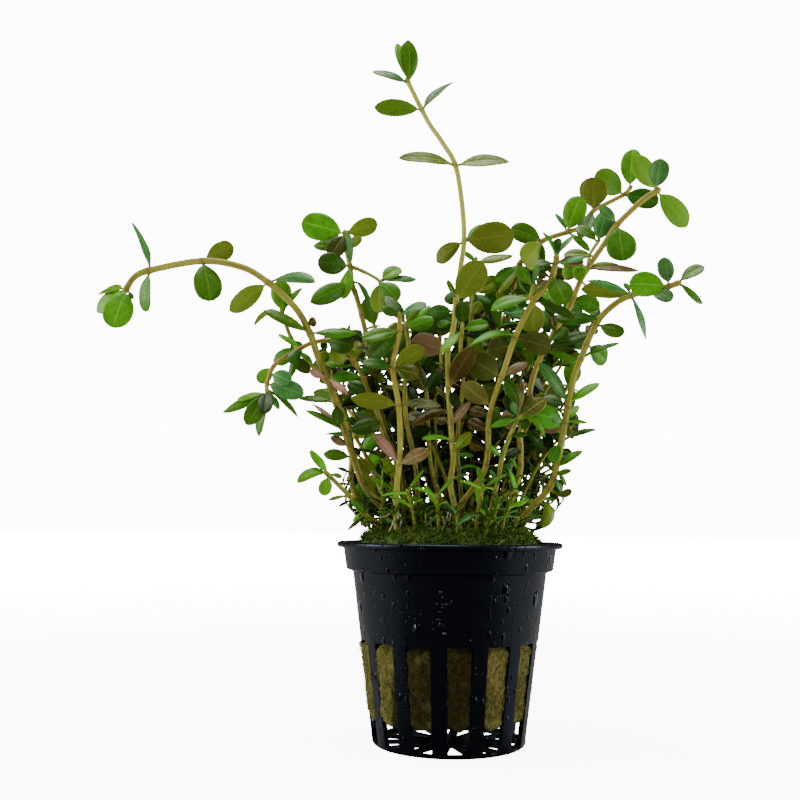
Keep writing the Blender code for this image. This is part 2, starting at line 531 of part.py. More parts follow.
def clear_of_parent(route, width, parent_width):
    """Start a branch's route where its end stands off its parent's bark by the gap."""
    step = (route[1] - route[0]).normalized()
    route[0] = route[0] + step * ((parent_width + width) / 2 + GAP + BRANCH_SLANT)
    return route


def leaning_route(angle, foot_r, height, lean, points):
    """Route that rises from the moss and leans outwards more and more."""
    out = Vector((math.cos(angle), math.sin(angle), 0))
    foot = out * foot_r + Vector((0, 0, MOSS_TOP_Z))
    return [foot + out * lean * (k / points) ** LEAN_POWER + Vector((0, 0, height * k / points))
            for k in range(points + 1)]


def all_routes():
    """Every shoot's route in millimetres and its stem's diameters at foot and tip, by name."""
    routes = {}
    for name, shoot in SHOOTS.items():
        depths = spread(shoot["depth"], len(shoot["route"]))
        route = [seen(x, z, y) for (x, z), y in zip(shoot["route"], depths)]
        if "parent" in shoot:
            parent_width = SHOOTS[shoot["parent"]]["stem"][1]
            route = clear_of_parent(route, shoot["stem"][0], parent_width)
        else:
            route = stand_on_moss(route, shoot["stem"])
        routes[name] = route, shoot["stem"]
    for k, (angle, foot_r, top, lean) in enumerate(REAR_SHOOTS):
        route = leaning_route(math.radians(angle), foot_r, top - MOSS_TOP_Z, lean, REAR_POINTS)
        routes[f"rear_shoot_{k + 1}"] = stand_on_moss(route, REAR_STEM), REAR_STEM
    for k, (angle, foot_r, height, lean) in enumerate(SPRIGS):
        route = leaning_route(math.radians(angle), foot_r, height, lean, SPRIG_POINTS)
        routes[f"sprig_{k + 1}"] = stand_on_moss(route, SPRIG_STEM), SPRIG_STEM
    return routes


# Leaves

class Leaf:
    """A blade along a curve from its foot on the stem to its tip, with its upper side's direction."""

    def __init__(self, foot, tip, up, width, middle=None):
        self.foot = foot
        self.tip = tip
        self.up = up
        self.width = width
        chord = tip - foot
        self.middle = middle or foot + chord / 2 + up * chord.length * LEAF_BEND

    def frame(self, s):
        """Centre line point, direction across and direction up at share s of the way to the tip."""
        rest = 1 - s
        point = self.foot * rest * rest + self.middle * 2 * rest * s + self.tip * s * s
        along = ((self.middle - self.foot) * rest + (self.tip - self.middle) * s).normalized()
        across = self.up.cross(along).normalized()
        return point, across, along.cross(across)

    def corners(self):
        if self.width < NARROW_LEAF:
            return 4
        return 6 if self.width < SMALL_LEAF else 8

    def solid(self, swell=0.0, start=0.0):
        """Bipyramid in metres; swell widens it for a clearance test, and start leaves its foot out."""
        bm = bmesh.new()
        bmesh.ops.create_uvsphere(bm, u_segments=self.corners(), v_segments=2, radius=1)
        reach = max(vert.co.x for vert in bm.verts)
        end_on = (self.tip - self.foot).normalized() * swell
        for vert in bm.verts:
            x = vert.co.x / reach
            s = start + (1 - start) * (1 + x) / 2
            point, across, up = self.frame(s)
            breadth = min(1, FOOT_BREADTH + s / BREADTH_RUN, TIP_BREADTH + (1 - s) / BREADTH_RUN)
            point += across * vert.co.y * (self.width / 2 * breadth + swell)
            point += up * vert.co.z * (LEAF_THICK / 2 + swell)
            vert.co = (point + end_on * round(x)) * MM
        return bm


def facing(foot, tip, roll):
    """Upper side's direction of a blade whose roll is stated against the line of sight."""
    along = (tip - foot).normalized()
    to_eye = EYE - foot
    to_eye = (to_eye - along * to_eye.dot(along)).normalized()
    sideways = along.cross(to_eye)
    if sideways.z < 0:
        sideways.negate()
    angle = math.radians(roll)
    return to_eye * math.cos(angle) + sideways * math.sin(angle)


def seen_leaf_choices(route, entry):
    """The leaf as it is read from the front view, then the same sight line at other depths."""
    at, x, z, depth, width, roll = entry[:6]
    foot = on_route(route, at)
    width *= (foot.y - EYE.y) / -EYE.y
    for taper in TAPERS:
        for shift in SHIFTS:
            tip = seen(x, z, foot.y + depth + shift)
            middle = None
            if len(entry) > 6:
                middle = seen(entry[6], entry[7], foot.y + (depth + shift) / 2)
            yield Leaf(foot, tip, facing(foot, tip, roll), width * taper, middle)


def grown_leaf_choices(foot, along, turn, length, width, rise):
    """A leaf at an angle round its stem, then the same leaf turned or made smaller."""
    reference = along.cross(Vector((0, 1, 0))).normalized()
    for share in SHORTER:
        for swing in TURNS:
            around = Matrix.Rotation(math.radians(turn + swing), 3, along) @ reference
            direction = (around * math.cos(rise) + along * math.sin(rise)).normalized()
            up = along - direction * along.dot(direction)
            yield Leaf(foot, foot + direction * length * share, up.normalized(), width * share)


def pair_places(route, first, step):
    """Places on a route, measured in its points, at even lengths of stem, and at its end."""
    lengths = [(b - a).length for a, b in zip(route, route[1:])]
    places = []
    at = first
    while at < sum(lengths) - 0.5:
        low = 0
        rest = at
        while rest > lengths[low]:
            rest -= lengths[low]
            low += 1
        places.append(low + rest / lengths[low])
        at += step
    return places + [len(route) - 1 - LAST_PAIR]


def grown_leaves(route, rng, first, step, size, ratio, rise):
    """Opposite pairs along a route, each pair turned a quarter from the one below."""
    turn = rng.uniform(0, 180)
    for place in pair_places(route, first, step):
        foot = on_route(route, place)
        low = int(place)
        along = (route[low + 1] - route[low]).normalized()
        for side in (0, 180):
            length = rng.uniform(*size)
            tilt = math.radians(rise + rng.uniform(-RISE_SPREAD, RISE_SPREAD))
            yield list(grown_leaf_choices(foot, along, turn + side, length, length * ratio, tilt))
        turn += 90 + rng.uniform(-TURN_SPREAD, TURN_SPREAD)


def leaves_to_place(name, route, rng):
    """For each leaf of a shoot, the choices it may take."""
    if name in SHOOTS:
        return [seen_leaf_choices(route, entry) for entry in SHOOTS[name]["leaves"]]
    if name.startswith("sprig"):
        return grown_leaves(route, rng, SPRIG_STEP, SPRIG_STEP, SPRIG_LEAF, SPRIG_LEAF_RATIO,
                            SPRIG_RISE)
    return grown_leaves(route, rng, REAR_FIRST, REAR_STEP, REAR_LEAF, REAR_LEAF_RATIO, REAR_RISE)


class Obstacles:
    """The surfaces placed so far, which the next leaf or stem has to clear."""

    def __init__(self):
        self.items = []

    def add(self, bm, owner):
        self.items.append((*self.extent(bm), BVHTree.FromBMesh(bm), owner))
        bm.free()

    def meets(self, bm, skip=()):
        """Owner of the first surface that the mesh crosses, or None."""
        low, high = self.extent(bm)
        tree = BVHTree.FromBMesh(bm)
        bm.free()
        for other_low, other_high, other, owner in self.items:
            if owner in skip:
                continue
            apart = any(low[k] > other_high[k] or other_low[k] > high[k] for k in range(3))
            if not apart and tree.overlap(other):
                return owner
        return None

    @staticmethod
    def extent(bm):
        low = [min(vert.co[k] for vert in bm.verts) for k in range(3)]
        high = [max(vert.co[k] for vert in bm.verts) for k in range(3)]
        return low, high


# Shoots

def stem_object(name, route, widths, collection):
    """Stem as a bevelled curve with filled caps, tapered from foot to tip."""
    curve = bpy.data.curves.new(name, "CURVE")
    curve.dimensions = "3D"
    curve.bevel_depth = widths[0] / 2 * MM
    curve.bevel_resolution = 1 if widths[0] > THICK_STEM else 0
    curve.use_fill_caps = True
    spline = curve.splines.new("POLY")
    spline.points.add(len(route) - 1)
    for point, place, width in zip(spline.points, route, spread(widths, len(route))):
        point.co = (*(place * MM), 1)
        point.radius = width / widths[0]
    return add_object(name, curve, collection)


def stem_solid(route, widths, collection):
    """The stem as one closed mesh."""
    obj = stem_object("stem", route, widths, collection)
    mesh = evaluated_mesh(obj)
    bpy.data.objects.remove(obj)
    bm = bmesh.new()
    bm.from_mesh(mesh)
    bmesh.ops.remove_doubles(bm, verts=bm.verts, dist=0.000001)
    bmesh.ops.recalc_face_normals(bm, faces=bm.faces)
    return bm


def add_stem(name, route, widths, obstacles, parts, tools, material):
    """Place a bare stem, which has to clear every piece but the moss that it stands on."""
    wide = stem_solid(route, [width + 2 * GAP for width in widths], tools)
    met = obstacles.meets(wide, skip=("moss_layer",))
    if met:
        raise ValueError(f"the stem of {name} comes too near {met}")
    obstacles.add(stem_solid(route, widths, tools), name)
    return add_object(name, mesh_from(stem_solid(route, widths, tools), name), parts, material)


def fuse(shoot, leaf, tools):
    """Join one leaf to its shoot, and say if the result is one closed body.

    A blade whose foot lies in a ring of the stem's corners may not join, so its foot is nudged.
    """
    for nudge in FOOT_NUDGES:
        nudged = Leaf(leaf.foot + leaf.up * nudge, leaf.tip, leaf.up, leaf.width, leaf.middle)
        tool = add_object("leaf", mesh_from(nudged.solid(), "leaf"), tools)
        join = shoot.modifiers.new("Leaf", "BOOLEAN")
        join.operation = "UNION"
        join.object = tool
        mesh = evaluated_mesh(shoot)
        shoot.modifiers.remove(join)
        bpy.data.objects.remove(tool)
        if is_one_body(mesh):
            shoot.data = mesh
            return True
    return False


def place_leaf(choices, shoot, obstacles, tools):
    """Fuse the first choice that clears everything, or leave the leaf out."""
    for leaf in choices:
        if obstacles.meets(leaf.solid(swell=CLEARANCE), skip=(shoot.name,)):
            continue
        if obstacles.meets(leaf.solid(swell=OWN_CLEARANCE, start=OWN_START)):
            continue
        if fuse(shoot, leaf, tools):
            obstacles.add(leaf.solid(), shoot.name)
            return True
    return False


def main():
    for obj in list(bpy.data.objects):
        bpy.data.objects.remove(obj)
    parts = new_collection("potted_dwarf_rotala")
    tools = new_collection("cutters")
    obstacles = Obstacles()
    for solid in (net_pot(parts, tools), rockwool_plug(parts), moss_layer(parts)):
        bm = bmesh.new()
        bm.from_mesh(evaluated_mesh(solid))
        bm.transform(solid.matrix_basis)
        obstacles.add(bm, solid.name)

    greens = [new_material(f"leaf_green_{k}", color, 0.4) for k, color in enumerate(LEAF_GREENS)]
    routes = all_routes()
    shoots = {}
    for k, (name, (route, widths)) in enumerate(routes.items()):
        shoots[name] = add_stem(name, route, widths, obstacles, parts, tools, greens[k % len(greens)])

    # A rule-made leaf that finds no room is left out, and one read from the front view never is.
    rng = random.Random(11)
    for name, (route, _) in routes.items():
        for number, choices in enumerate(leaves_to_place(name, route, rng), 1):
            placed = place_leaf(choices, shoots[name], obstacles, tools)
            if not placed and name in SHOOTS:
                raise ValueError(f"no room for leaf {number} of {name}")


if __name__ == "__main__":
    main()
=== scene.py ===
import json
import math
import random

import bmesh
import bpy
from bpy.props import FloatProperty, FloatVectorProperty, IntProperty, PointerProperty
from mathutils import Matrix, Vector
from mathutils.kdtree import KDTree

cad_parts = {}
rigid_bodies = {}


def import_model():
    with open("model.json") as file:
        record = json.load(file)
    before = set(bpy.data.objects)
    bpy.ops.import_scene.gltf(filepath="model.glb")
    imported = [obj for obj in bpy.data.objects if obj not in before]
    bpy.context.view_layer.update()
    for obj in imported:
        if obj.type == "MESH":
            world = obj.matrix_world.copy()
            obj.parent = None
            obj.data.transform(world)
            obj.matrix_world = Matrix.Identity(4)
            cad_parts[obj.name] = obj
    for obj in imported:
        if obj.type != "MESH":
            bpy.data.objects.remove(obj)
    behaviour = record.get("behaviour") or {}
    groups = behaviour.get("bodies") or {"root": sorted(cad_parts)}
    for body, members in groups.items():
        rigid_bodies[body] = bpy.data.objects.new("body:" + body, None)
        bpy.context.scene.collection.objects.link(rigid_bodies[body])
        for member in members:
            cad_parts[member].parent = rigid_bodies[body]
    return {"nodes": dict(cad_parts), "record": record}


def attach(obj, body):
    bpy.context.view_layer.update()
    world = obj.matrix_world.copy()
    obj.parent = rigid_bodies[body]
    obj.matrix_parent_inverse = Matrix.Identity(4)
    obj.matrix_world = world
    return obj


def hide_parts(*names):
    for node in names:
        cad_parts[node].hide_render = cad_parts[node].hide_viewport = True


bl_info = {
    "name": "Potted Dwarf Rotala",
    "version": (1, 0, 0),
    "blender": (4, 5, 0),
    "location": "3D View > Sidebar > Rotala",
    "description": "Builds a bunch of aquarium stem plants in a net pot over its solid model",
    "category": "Add Mesh",
}

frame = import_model()

# Lengths in the tables and functions are millimetres, and become metres where a mesh is made.
MM = 0.001

# The front view is read from an eye this far in front of the pot's axis and this high up.
EYE = Vector((0.0, -260.0, 54.0))
MOSS_TOP_Z = 51.0
GAP = 0.3                # air between solids that meet
BRANCH_SLANT = 0.25      # more air at a fork, which a branch leaves at a slant
LAST_PAIR = 0.15         # the last leaves sit this far below a route's end, in its points
LEAF_BEND = 0.14         # how far a blade's middle is drawn up, as a share of its length
# Other depths and widths that a leaf of the solid model takes where it has no room
SHIFTS = (0, -2, 2, -4, 4, -6, 6, -9, 9, -12, 12)
TAPERS = (1.0, 0.8, 0.62)

# Each shoot: its route from foot to tip as seen from the front (x, z), the depths that the route
# passes evenly, the stem's diameter at foot and tip, and its leaves. A leaf is (where on the route,
# tip x, tip z, tip's depth from its foot, width, roll[, middle x, middle z]), with roll 0 for the
# upper face turned to the viewer, 90 for edge-on and 180 for the underside.
SHOOTS = {
    "arching_shoot_left": {
        "route": [(-13.5, 51.6), (-16.8, 56.4), (-20.7, 60.9), (-23.4, 67), (-26.1, 74.8), (-28.5, 82.2),
            (-30.9, 88.4), (-33.4, 94.2), (-35.4, 99.8), (-38.3, 105.2), (-42, 109.3), (-46.3, 113),
            (-53, 117), (-63.5, 118.7), (-77, 116.3), (-81.1, 114.4), (-83.3, 110.9)],
        "depth": (-8, -14, -18, -16, -13), "stem": (1.9, 1.55),
        "bark": ("brown", "tan"), "tints": "bbbtgogtoggrrgrgdpgd",
        "leaves": [(16, -86.1, 101.4, -3, 7.6, 10), (16, -90.4, 105.6, 2, 5, 45),
            (16, -90, 110.2, 4, 4.4, 80), (14, -82.1, 128.8, 0, 4.4, 80), (14, -77.5, 105.5, 0, 5, 55),
            (13, -55.7, 122.7, 3, 5.3, 165), (13, -61, 108.3, -2, 7.2, 10),
            (11, -34.4, 113, -4, 3.8, 40, -39, 116.5), (11, -56, 105.6, -2, 5.3, 160),
            (8, -47.4, 105.8, -3, 3.8, 45), (8, -23.5, 100, 3, 4, 50), (6, -35.3, 90.4, -3, 2.4, 30),
            (6, -25.6, 84.4, -2, 2.4, 40), (4, -36.1, 80.3, -2, 3, 60), (4, -34.3, 81.9, 2, 2.6, 60),
            (5, -38, 83.4, 2, 3, 50), (5, -28, 76.8, -2, 3.4, 20), (3.5, -29.8, 73.8, -1, 2.8, 40),
            (3.2, -31.5, 69.4, 1, 3.2, 25), (4, -17.5, 77.5, 3, 4.6, 20)]},
    "drooping_shoot_left": {
        "route": [(-10.8, 51.6), (-11.5, 58), (-12.6, 64.5), (-14, 69.5), (-16.3, 74.5), (-18.3, 80.5),
            (-20.7, 86), (-22.9, 90.9), (-26.2, 94.8), (-30, 98), (-34.5, 97.6), (-38, 96), (-41.2, 94.2),
            (-44.6, 91.4), (-46.1, 87), (-45.8, 84)],
        "depth": (-7, -9, -11, -14, -20), "stem": (1.4, 1.0),
        "bark": ("brown", "orange"), "tints": "bgdgodbbgggvgttdg",
        "leaves": [(11, -43.4, 99.7, 0, 3.6, 85), (11, -44.5, 92.6, 2, 4.2, 20),
            (11, -40.4, 92.4, -4, 3.6, 5), (11, -40.3, 88.6, -1, 3, 50), (9, -27, 92.2, -2, 4.3, 170),
            (9, -25.2, 99.6, -3, 5, 20), (13, -48.2, 87.4, 3, 3.8, 165), (15, -53.5, 83, 0, 3, 55),
            (15, -57.1, 79.7, 1, 3.4, 45), (15, -51.1, 76.7, -3, 4.7, 5), (15, -47.9, 73.8, 1, 3.6, 50),
            (14.6, -46.7, 79.4, -5, 4, 5), (14.6, -42.9, 80.6, 0, 2.6, 50),
            (13.4, -40, 87.6, -3, 4.3, 10), (14, -36.8, 84.3, -2, 5.2, 15),
            (12, -35.2, 89.9, 2, 3.4, 165), (14.5, -38.2, 78.7, 2, 3, 85)]},
    "rear_shoot_left": {
        "route": [(-17.2, 51.6), (-21.3, 55.5), (-24.2, 61.8), (-24.4, 68.5), (-24.9, 75), (-26.8, 81),
            (-30, 86.6), (-33.6, 90.5), (-37.1, 94.2), (-40.2, 98.7), (-43, 106.2)],
        "depth": (-1, 0, 2, 4), "stem": (1.7, 1.0), "bark": ("tan", "green"), "tints": "bgob",
        "leaves": [(10, -43.3, 113.7, -1, 5.4, 10), (10, -37.7, 111.6, 2, 3.4, 65),
            (10, -49.7, 102, 0, 2.8, 60, -46.8, 107), (9, -38.3, 94.5, 2, 4.2, 20)]},
    "low_shoot_left": {
        "route": [(-16.8, 51.6), (-21, 54.8), (-25.3, 59.5), (-31, 65)],
        "depth": (-8, -14, -20), "stem": (1.3, 1.1), "bark": ("tan", "green"), "tints": "bgbbo",
        "leaves": [(3, -34.8, 70.4, 0, 3.2, 45), (3, -26.8, 64, 1, 2.6, 60),
            (3, -37.9, 62.2, -2, 3.2, 35, -34, 66.6), (3, -31.3, 59.1, -2, 3.4, 5),
            (1.9, -30, 58, 0, 1.6, 55)]},
    "crown_shoot_left": {
        "route": [(-9, 51.6), (-10.3, 58), (-13, 67), (-16, 76), (-18.6, 85), (-20.2, 94), (-21.5, 101),
            (-23.6, 108.8), (-25, 112.9), (-25.5, 117.2), (-26.6, 122), (-27, 126.3)],
        "depth": (-1, -1, 0, 2), "stem": (1.6, 1.3), "bark": ("shaded_olive", "tan"), "tints": "bokgtodbgt",
        "leaves": [(11, -38.1, 128.8, -2, 7.2, 10), (11, -18.7, 128.5, 2, 5.6, 145),
            (11, -30.5, 119.8, -3, 5, 10), (10, -34.9, 122.6, 1, 3.4, 30), (9, -26.3, 126.8, -3, 3.4, 60),
            (10, -22.6, 124.6, 3, 3, 150), (9, -33.8, 118.3, -2, 5.7, 15), (9, -27, 108.8, -3, 4.6, 40),
            (8, -35.4, 107.9, -3, 5, 10), (8, -19.3, 103.9, -2, 2.6, 75, -22, 114.8)]},
    "crown_branch_left": {
        "parent": "crown_shoot_left",
        "route": [(-25.5, 117.2), (-23.5, 116.5), (-20, 114.8), (-17.5, 113.1)],
        "depth": (0.9, 0, -3), "stem": (1.1, 0.9), "bark": ("tan", "green"), "tints": "tbgo",
        "leaves": [(3, -8.7, 113.8, 2, 3.6, 75), (3, -12.7, 116.7, 4, 4.2, 35),
            (3, -13.2, 108.4, -3, 4.9, 5), (3, -18.2, 105.2, -1, 4.4, 155)]},
    "front_shoot_left": {
        "route": [(-13, 51.6), (-13.2, 57.3), (-13, 63), (-12.5, 67.8), (-12.3, 73.2), (-12.8, 81.7),
            (-14.3, 91), (-12.8, 100.4), (-12.9, 104.9)],
        "depth": (-13, -15, -20), "stem": (1.6, 1.1),
        "bark": ("pale", "orange"), "tints": "tdgdokdokvrpog",
        "leaves": [(8, -6, 107.5, -1, 3.6, 50), (8, -17.2, 106.2, -2, 3, 45),
            (7, -22.1, 98.3, -3, 4.4, 40), (7, -20, 94, 2, 5, 20), (6, -6.6, 96.2, 1, 4.8, 160),
            (6, -7.8, 89.4, -2, 4.2, 20), (6, -22, 92.5, -2, 3.6, 45), (5, -24.7, 83.4, -2, 4.6, 155),
            (5, -2.3, 81.5, -2, 3.8, 50), (4.2, -15.6, 80, -2, 3, 30), (2.8, -19.1, 74.5, -1, 3, 35),
            (2.8, -5.1, 70.4, -2, 3.6, 20), (2, -17.1, 68.3, 0, 3.4, 30), (1.5, -19.5, 63.7, 0, 1.8, 50)]},
    "middle_shoot_left": {
        "route": [(-7.5, 51.6), (-8, 59.8), (-8.5, 66.6), (-9.9, 73.4), (-11.1, 79.7), (-11.2, 90),
            (-10.5, 97.1), (-11.3, 102.6)],
        "depth": (-7, -9, -12), "stem": (1.4, 1.1), "bark": ("shaded_olive", "tan"), "tints": "gbdv",
        "leaves": [(6.7, -4.2, 103.6, -2, 3.8, 20), (7, -5, 106.9, 2, 3.6, 40),
            (7, -16.5, 109.4, 3, 4, 30), (3, -5.2, 76.5, 1, 3.6, 150)]},
    "small_shoot": {
        "route": [(0, 51.6), (-2.6, 59.8), (-3.9, 63.2), (-5, 69.5), (-5.5, 77), (-5.9, 86)],
        "depth": (-6, -7, -9), "stem": (1.2, 0.9), "bark": ("shaded_olive", "green"), "tints": "kvk",
        "leaves": [(5, -9.8, 91.8, -1, 4.4, 20), (5, -2.2, 91.2, 0, 4, 40), (4, -10.8, 79.4, 2, 3.8, 30)]},
    "tall_shoot": {
        "route": [(2.4, 51.6), (1.2, 57), (0.2, 62), (0.9, 68.5), (0.5, 73), (0, 80), (-0.4, 86),
            (-0.55, 95.3), (0.9, 102), (1.4, 108), (2.5, 116.5), (3.4, 123.6), (2.9, 133), (1.2, 143.4),
            (-2, 149.3), (-5.3, 154.2), (-7.5, 158.3), (-11.5, 166.6)],
        "depth": (-14, -13, -13, -11, -9), "stem": (1.55, 1.2),
        "bark": ("tan", "pale"), "tints": "gbtgtoooobogpzvzzpbo",
        "leaves": [(17, -11.2, 177.2, -1, 5, 15), (17, -14.1, 176.3, 2, 4.4, 35),
            (17, -20.4, 168.8, -1, 3.8, 60), (16, -19.8, 159.2, -1, 5.4, 145),
            (16, 0.4, 165.6, 2, 4.4, 75), (13, -13.3, 145.6, -1, 4.8, 55), (13, 14.8, 144.3, -1, 4.8, 50),
            (11, -3.5, 118.5, -2, 4.6, 150), (11, 16, 125.3, -2, 8.5, 165), (11, 10, 127.6, 3, 4, 30),
            (9, 8.1, 118.2, -3, 7.3, 170), (9, -0.7, 113.6, 1, 3, 65), (7, -9.6, 98.1, -2, 5.9, 165),
            (6, 5.8, 96.4, -2, 5.2, 165), (6, 2.2, 80.8, 1, 2.6, 20),
            (5, -9.7, 76.5, -2, 3.4, 40, -4, 82), (4.6, -3.3, 78.4, 2, 2.6, 30),
            (4.5, 5.2, 82.6, -2, 3, 40), (4, -6.9, 73.4, -2, 2.6, 60, -3, 74.8),
            (3.4, 5.4, 74.9, -2, 2.9, 20)]},
    "middle_shoot_rear": {
        "route": [(4.6, 51.6), (5.3, 60), (5.5, 70), (5.3, 80), (4.9, 90), (5.1, 100), (5.8, 110),
            (6.35, 119.2)],
        "depth": (3, 4, 7), "stem": (1.7, 1.2), "bark": ("shaded_olive", "green"), "tints": "ogod",
        "leaves": [(7, 15.6, 119.9, 0, 4, 55), (7, 3.4, 121, 1, 3, 60), (6, 12.6, 113.6, 1, 4.6, 20),
            (6, -1.6, 108.6, 1, 4.2, 40)]},
    "small_shoot_front": {
        "route": [(3.5, 51.6), (2.8, 60), (1.9, 70), (2.3, 79), (3.2, 87), (2.6, 95.6), (3.1, 102.4)],
        "depth": (-4, -8, -19), "stem": (1.2, 1.0), "bark": ("shaded_olive", "tan"), "tints": "dbgv",
        "leaves": [(6, 3.1, 108.2, -1, 3.9, 10), (5.7, -2.3, 94.8, -3, 3, 40),
            (5.8, 9.6, 102.2, -1, 3.4, 30), (5.6, 9.2, 99.6, 2, 3, 30)]},
    "crown_shoot_right": {
        "route": [(7.6, 51.6), (8.4, 60), (9.4, 70), (10.8, 80), (12.2, 90), (13.8, 100), (15.7, 110.5),
            (17.2, 117.3), (19.5, 119.8), (23.3, 123.7), (29.4, 125.9), (33, 127.3), (36, 131.3),
            (43.6, 135.5), (45.6, 137.6)],
        "depth": (5, 6, 8, 10, 12), "stem": (1.6, 1.1),
        "bark": ("brown", "orange"), "tints": "ggogbtgodgdb",
        "leaves": [(7, 11.4, 113.2, -2, 4, 30), (9, 15.2, 126.9, -2, 5.4, 20),
            (9, 18.7, 117.6, -3, 6.3, 160), (9, 22.2, 116.8, 1, 4.4, 40), (10, 32.8, 135.2, -1, 6, 10),
            (10, 26.6, 130.7, 2, 2.6, 60), (10, 35, 121, -1, 3, 55), (12, 36.3, 140.2, -1, 7.4, 165),
            (12, 33, 124.3, -2, 4.4, 35), (13, 36.7, 141.2, 2, 6.5, 160), (13, 52.4, 133.6, -2, 5.2, 15),
            (14, 46.2, 147.4, -1, 5.3, 10)]},
    "front_shoot_right": {
        "route": [(1.4, 51.6), (2.5, 56.6), (5.6, 61), (8.4, 65.2), (9.4, 70.5), (9.6, 77), (10.6, 82.5),
            (12.8, 88.8), (14.2, 93), (16.2, 98.9), (18.6, 104), (21, 108.4), (25, 113.3), (26.4, 117.7),
            (26.7, 119.7)],
        "depth": (-9, -14, -21, -26), "stem": (1.5, 1.35),
        "bark": ("tan", "tan"), "tints": "dtgtdgodgkpkdmdzzz",
        "leaves": [(14, 27.2, 124.3, 0, 3, 40), (14, 31.1, 125.2, 2, 3.2, 70),
            (14, 23.3, 125.8, -1, 2.6, 80), (13, 33.8, 119.3, -2, 3.2, 60),
            (13, 21.6, 117.6, -1, 2.8, 50), (12.3, 29, 107.6, -3, 6.3, 10),
            (11, 20.5, 100.2, 2, 6.5, 165), (11, 31.2, 103.5, -2, 3.8, 45),
            (9, 4.9, 96.8, -3, 3.4, 60, 12.5, 102.8), (9, 24.9, 96.2, -2, 5.8, 160),
            (7.3, 19.3, 96.3, -3, 3.6, 40), (7, 5.2, 93.4, 2, 7.4, 165), (7, 17, 83.2, -1, 3.8, 30),
            (5.8, 3.1, 87, -3, 5, 165), (4.8, 17, 80, -2, 2.8, 50), (5.4, 5, 80.7, 1, 3.2, 30),
            (4.7, 4.6, 78, 2, 3.4, 20), (4, 4.8, 72.1, -1, 2.6, 30)]},
    "front_branch_right": {
        "parent": "front_shoot_right",
        "route": [(20.6, 107.6), (20.1, 109.6), (20.9, 112)],
        "depth": (-22.8, -25), "stem": (1.0, 0.9), "bark": ("tan", "green"), "tints": "gz",
        "leaves": [(2, 16.7, 117, -1, 3.4, 35), (2, 24.4, 113.4, 1, 2.6, 70)]},
    "high_branch_right": {
        "parent": "tall_shoot_right",
        "route": [(34.3, 116.3), (35.1, 120.2), (37.4, 123.8)],
        "depth": (-3.6, -1, 1), "stem": (1.0, 0.9), "bark": ("tan", "green"), "tints": "tg",
        "leaves": [(2, 39.8, 131.7, -1, 5.4, 15), (2, 31.8, 127.2, 2, 3.4, 40)]},
    "tall_shoot_right": {
        "route": [(8.3, 51.6), (11, 57), (15.2, 60.5), (17.2, 65), (17.5, 70.3), (17.4, 75), (19.2, 81),
            (20.3, 87.5), (22.4, 93.5), (26, 100.3), (30, 107), (32, 112), (34.3, 116.3), (38.6, 122.8),
            (42, 127.8), (48.2, 133.9), (52.6, 136.9)],
        "depth": (-6, -6, -6, -5, -4), "stem": (1.6, 1.5),
        "bark": ("tan", "orange"), "tints": "btbtgpbbgogdkdgko",
        "leaves": [(16, 46.8, 145.6, 1, 5.8, 155), (16, 53.3, 144.9, -1, 5.2, 20),
            (16, 59.4, 127.4, -2, 5.8, 160), (14, 37.5, 132.3, -1, 4, 50), (14, 43.4, 118.5, -2, 7.6, 10),
            (12, 47.1, 115.9, -1, 3.8, 60), (12, 42, 117.5, 3, 3.6, 60),
            (12, 32.1, 113.4, -2, 3.6, 30, 32.6, 119.5), (12, 27.4, 118, -3, 3.6, 60),
            (12.5, 28.5, 119.9, 1, 3.8, 45), (10.4, 36.8, 105.5, 2, 3.8, 30), (8.6, 29.4, 101, -1, 4, 30),
            (9, 25.3, 104.2, -2, 2.8, 25), (8.4, 35.2, 99.9, -2, 4, 35), (8.3, 31.6, 92.7, 0, 3, 55),
            (8.3, 32.2, 94.9, 3, 3, 145), (6.3, 24.6, 82.8, -2, 4, 15)]},
    "arching_shoot_right": {
        "route": [(14.5, 51.6), (17.3, 54), (21, 57.6), (24.4, 61.4), (26.1, 66), (27.6, 73),
            (28.5, 77.7), (29.3, 82.2), (31, 89.5), (32.7, 94), (34.9, 99.3), (37.5, 104), (41.5, 107.7),
            (45.1, 109.6), (49.8, 110.9), (54.5, 111.9), (57.2, 112.9)],
        "depth": (-5, -9, -15, -20, -24), "stem": (1.8, 1.3),
        "bark": ("tan", "tan"), "tints": "ggttbttodgggtbdgpbbggbboot",
        "leaves": [(16, 63.3, 117, -1, 4.2, 45), (16, 62.7, 107.5, 0, 4, 80),
            (15, 53.4, 119.3, -1, 4.4, 20), (14, 55.3, 108.4, -3, 4.2, 35), (15, 44.8, 112.5, 2, 6.5, 15),
            (13, 34.3, 113.4, -3, 3.4, 60, 42, 112.6), (13, 48.6, 98.6, -1, 3.4, 60),
            (13, 32.8, 111.2, 4, 5, 145), (10.9, 26.4, 103.6, -2, 4.6, 40),
            (10.6, 43.3, 100, -2, 4.2, 35), (8.9, 42.1, 97.5, -2, 2.8, 65), (9.6, 38.8, 93, 2, 5, 15),
            (7, 22.2, 92.5, -2, 4.2, 40), (7, 37, 87.4, -1, 3.6, 50), (6.9, 22.6, 83.4, 2, 4, 30),
            (6, 21.2, 79.7, -1, 6, 15), (5.4, 21.5, 77, 1, 3, 145), (6, 31.8, 81.8, -1, 2.6, 40),
            (6, 33.8, 77.6, 0, 2.2, 60), (5, 36.1, 75.9, -1, 2.6, 60), (5, 25, 67.7, 0, 3.4, 30),
            (4, 32.7, 70.6, -1, 3, 50), (3.6, 29.9, 65.8, -1, 2, 40),
            (3, 29.7, 61.2, 0, 2.8, 60, 27.6, 58.4), (2, 22.5, 51.6, -3, 3.2, 40, 27.5, 58),
            (1, 21.8, 54.4, 2, 2.6, 40)]},
    "inner_shoot_right": {
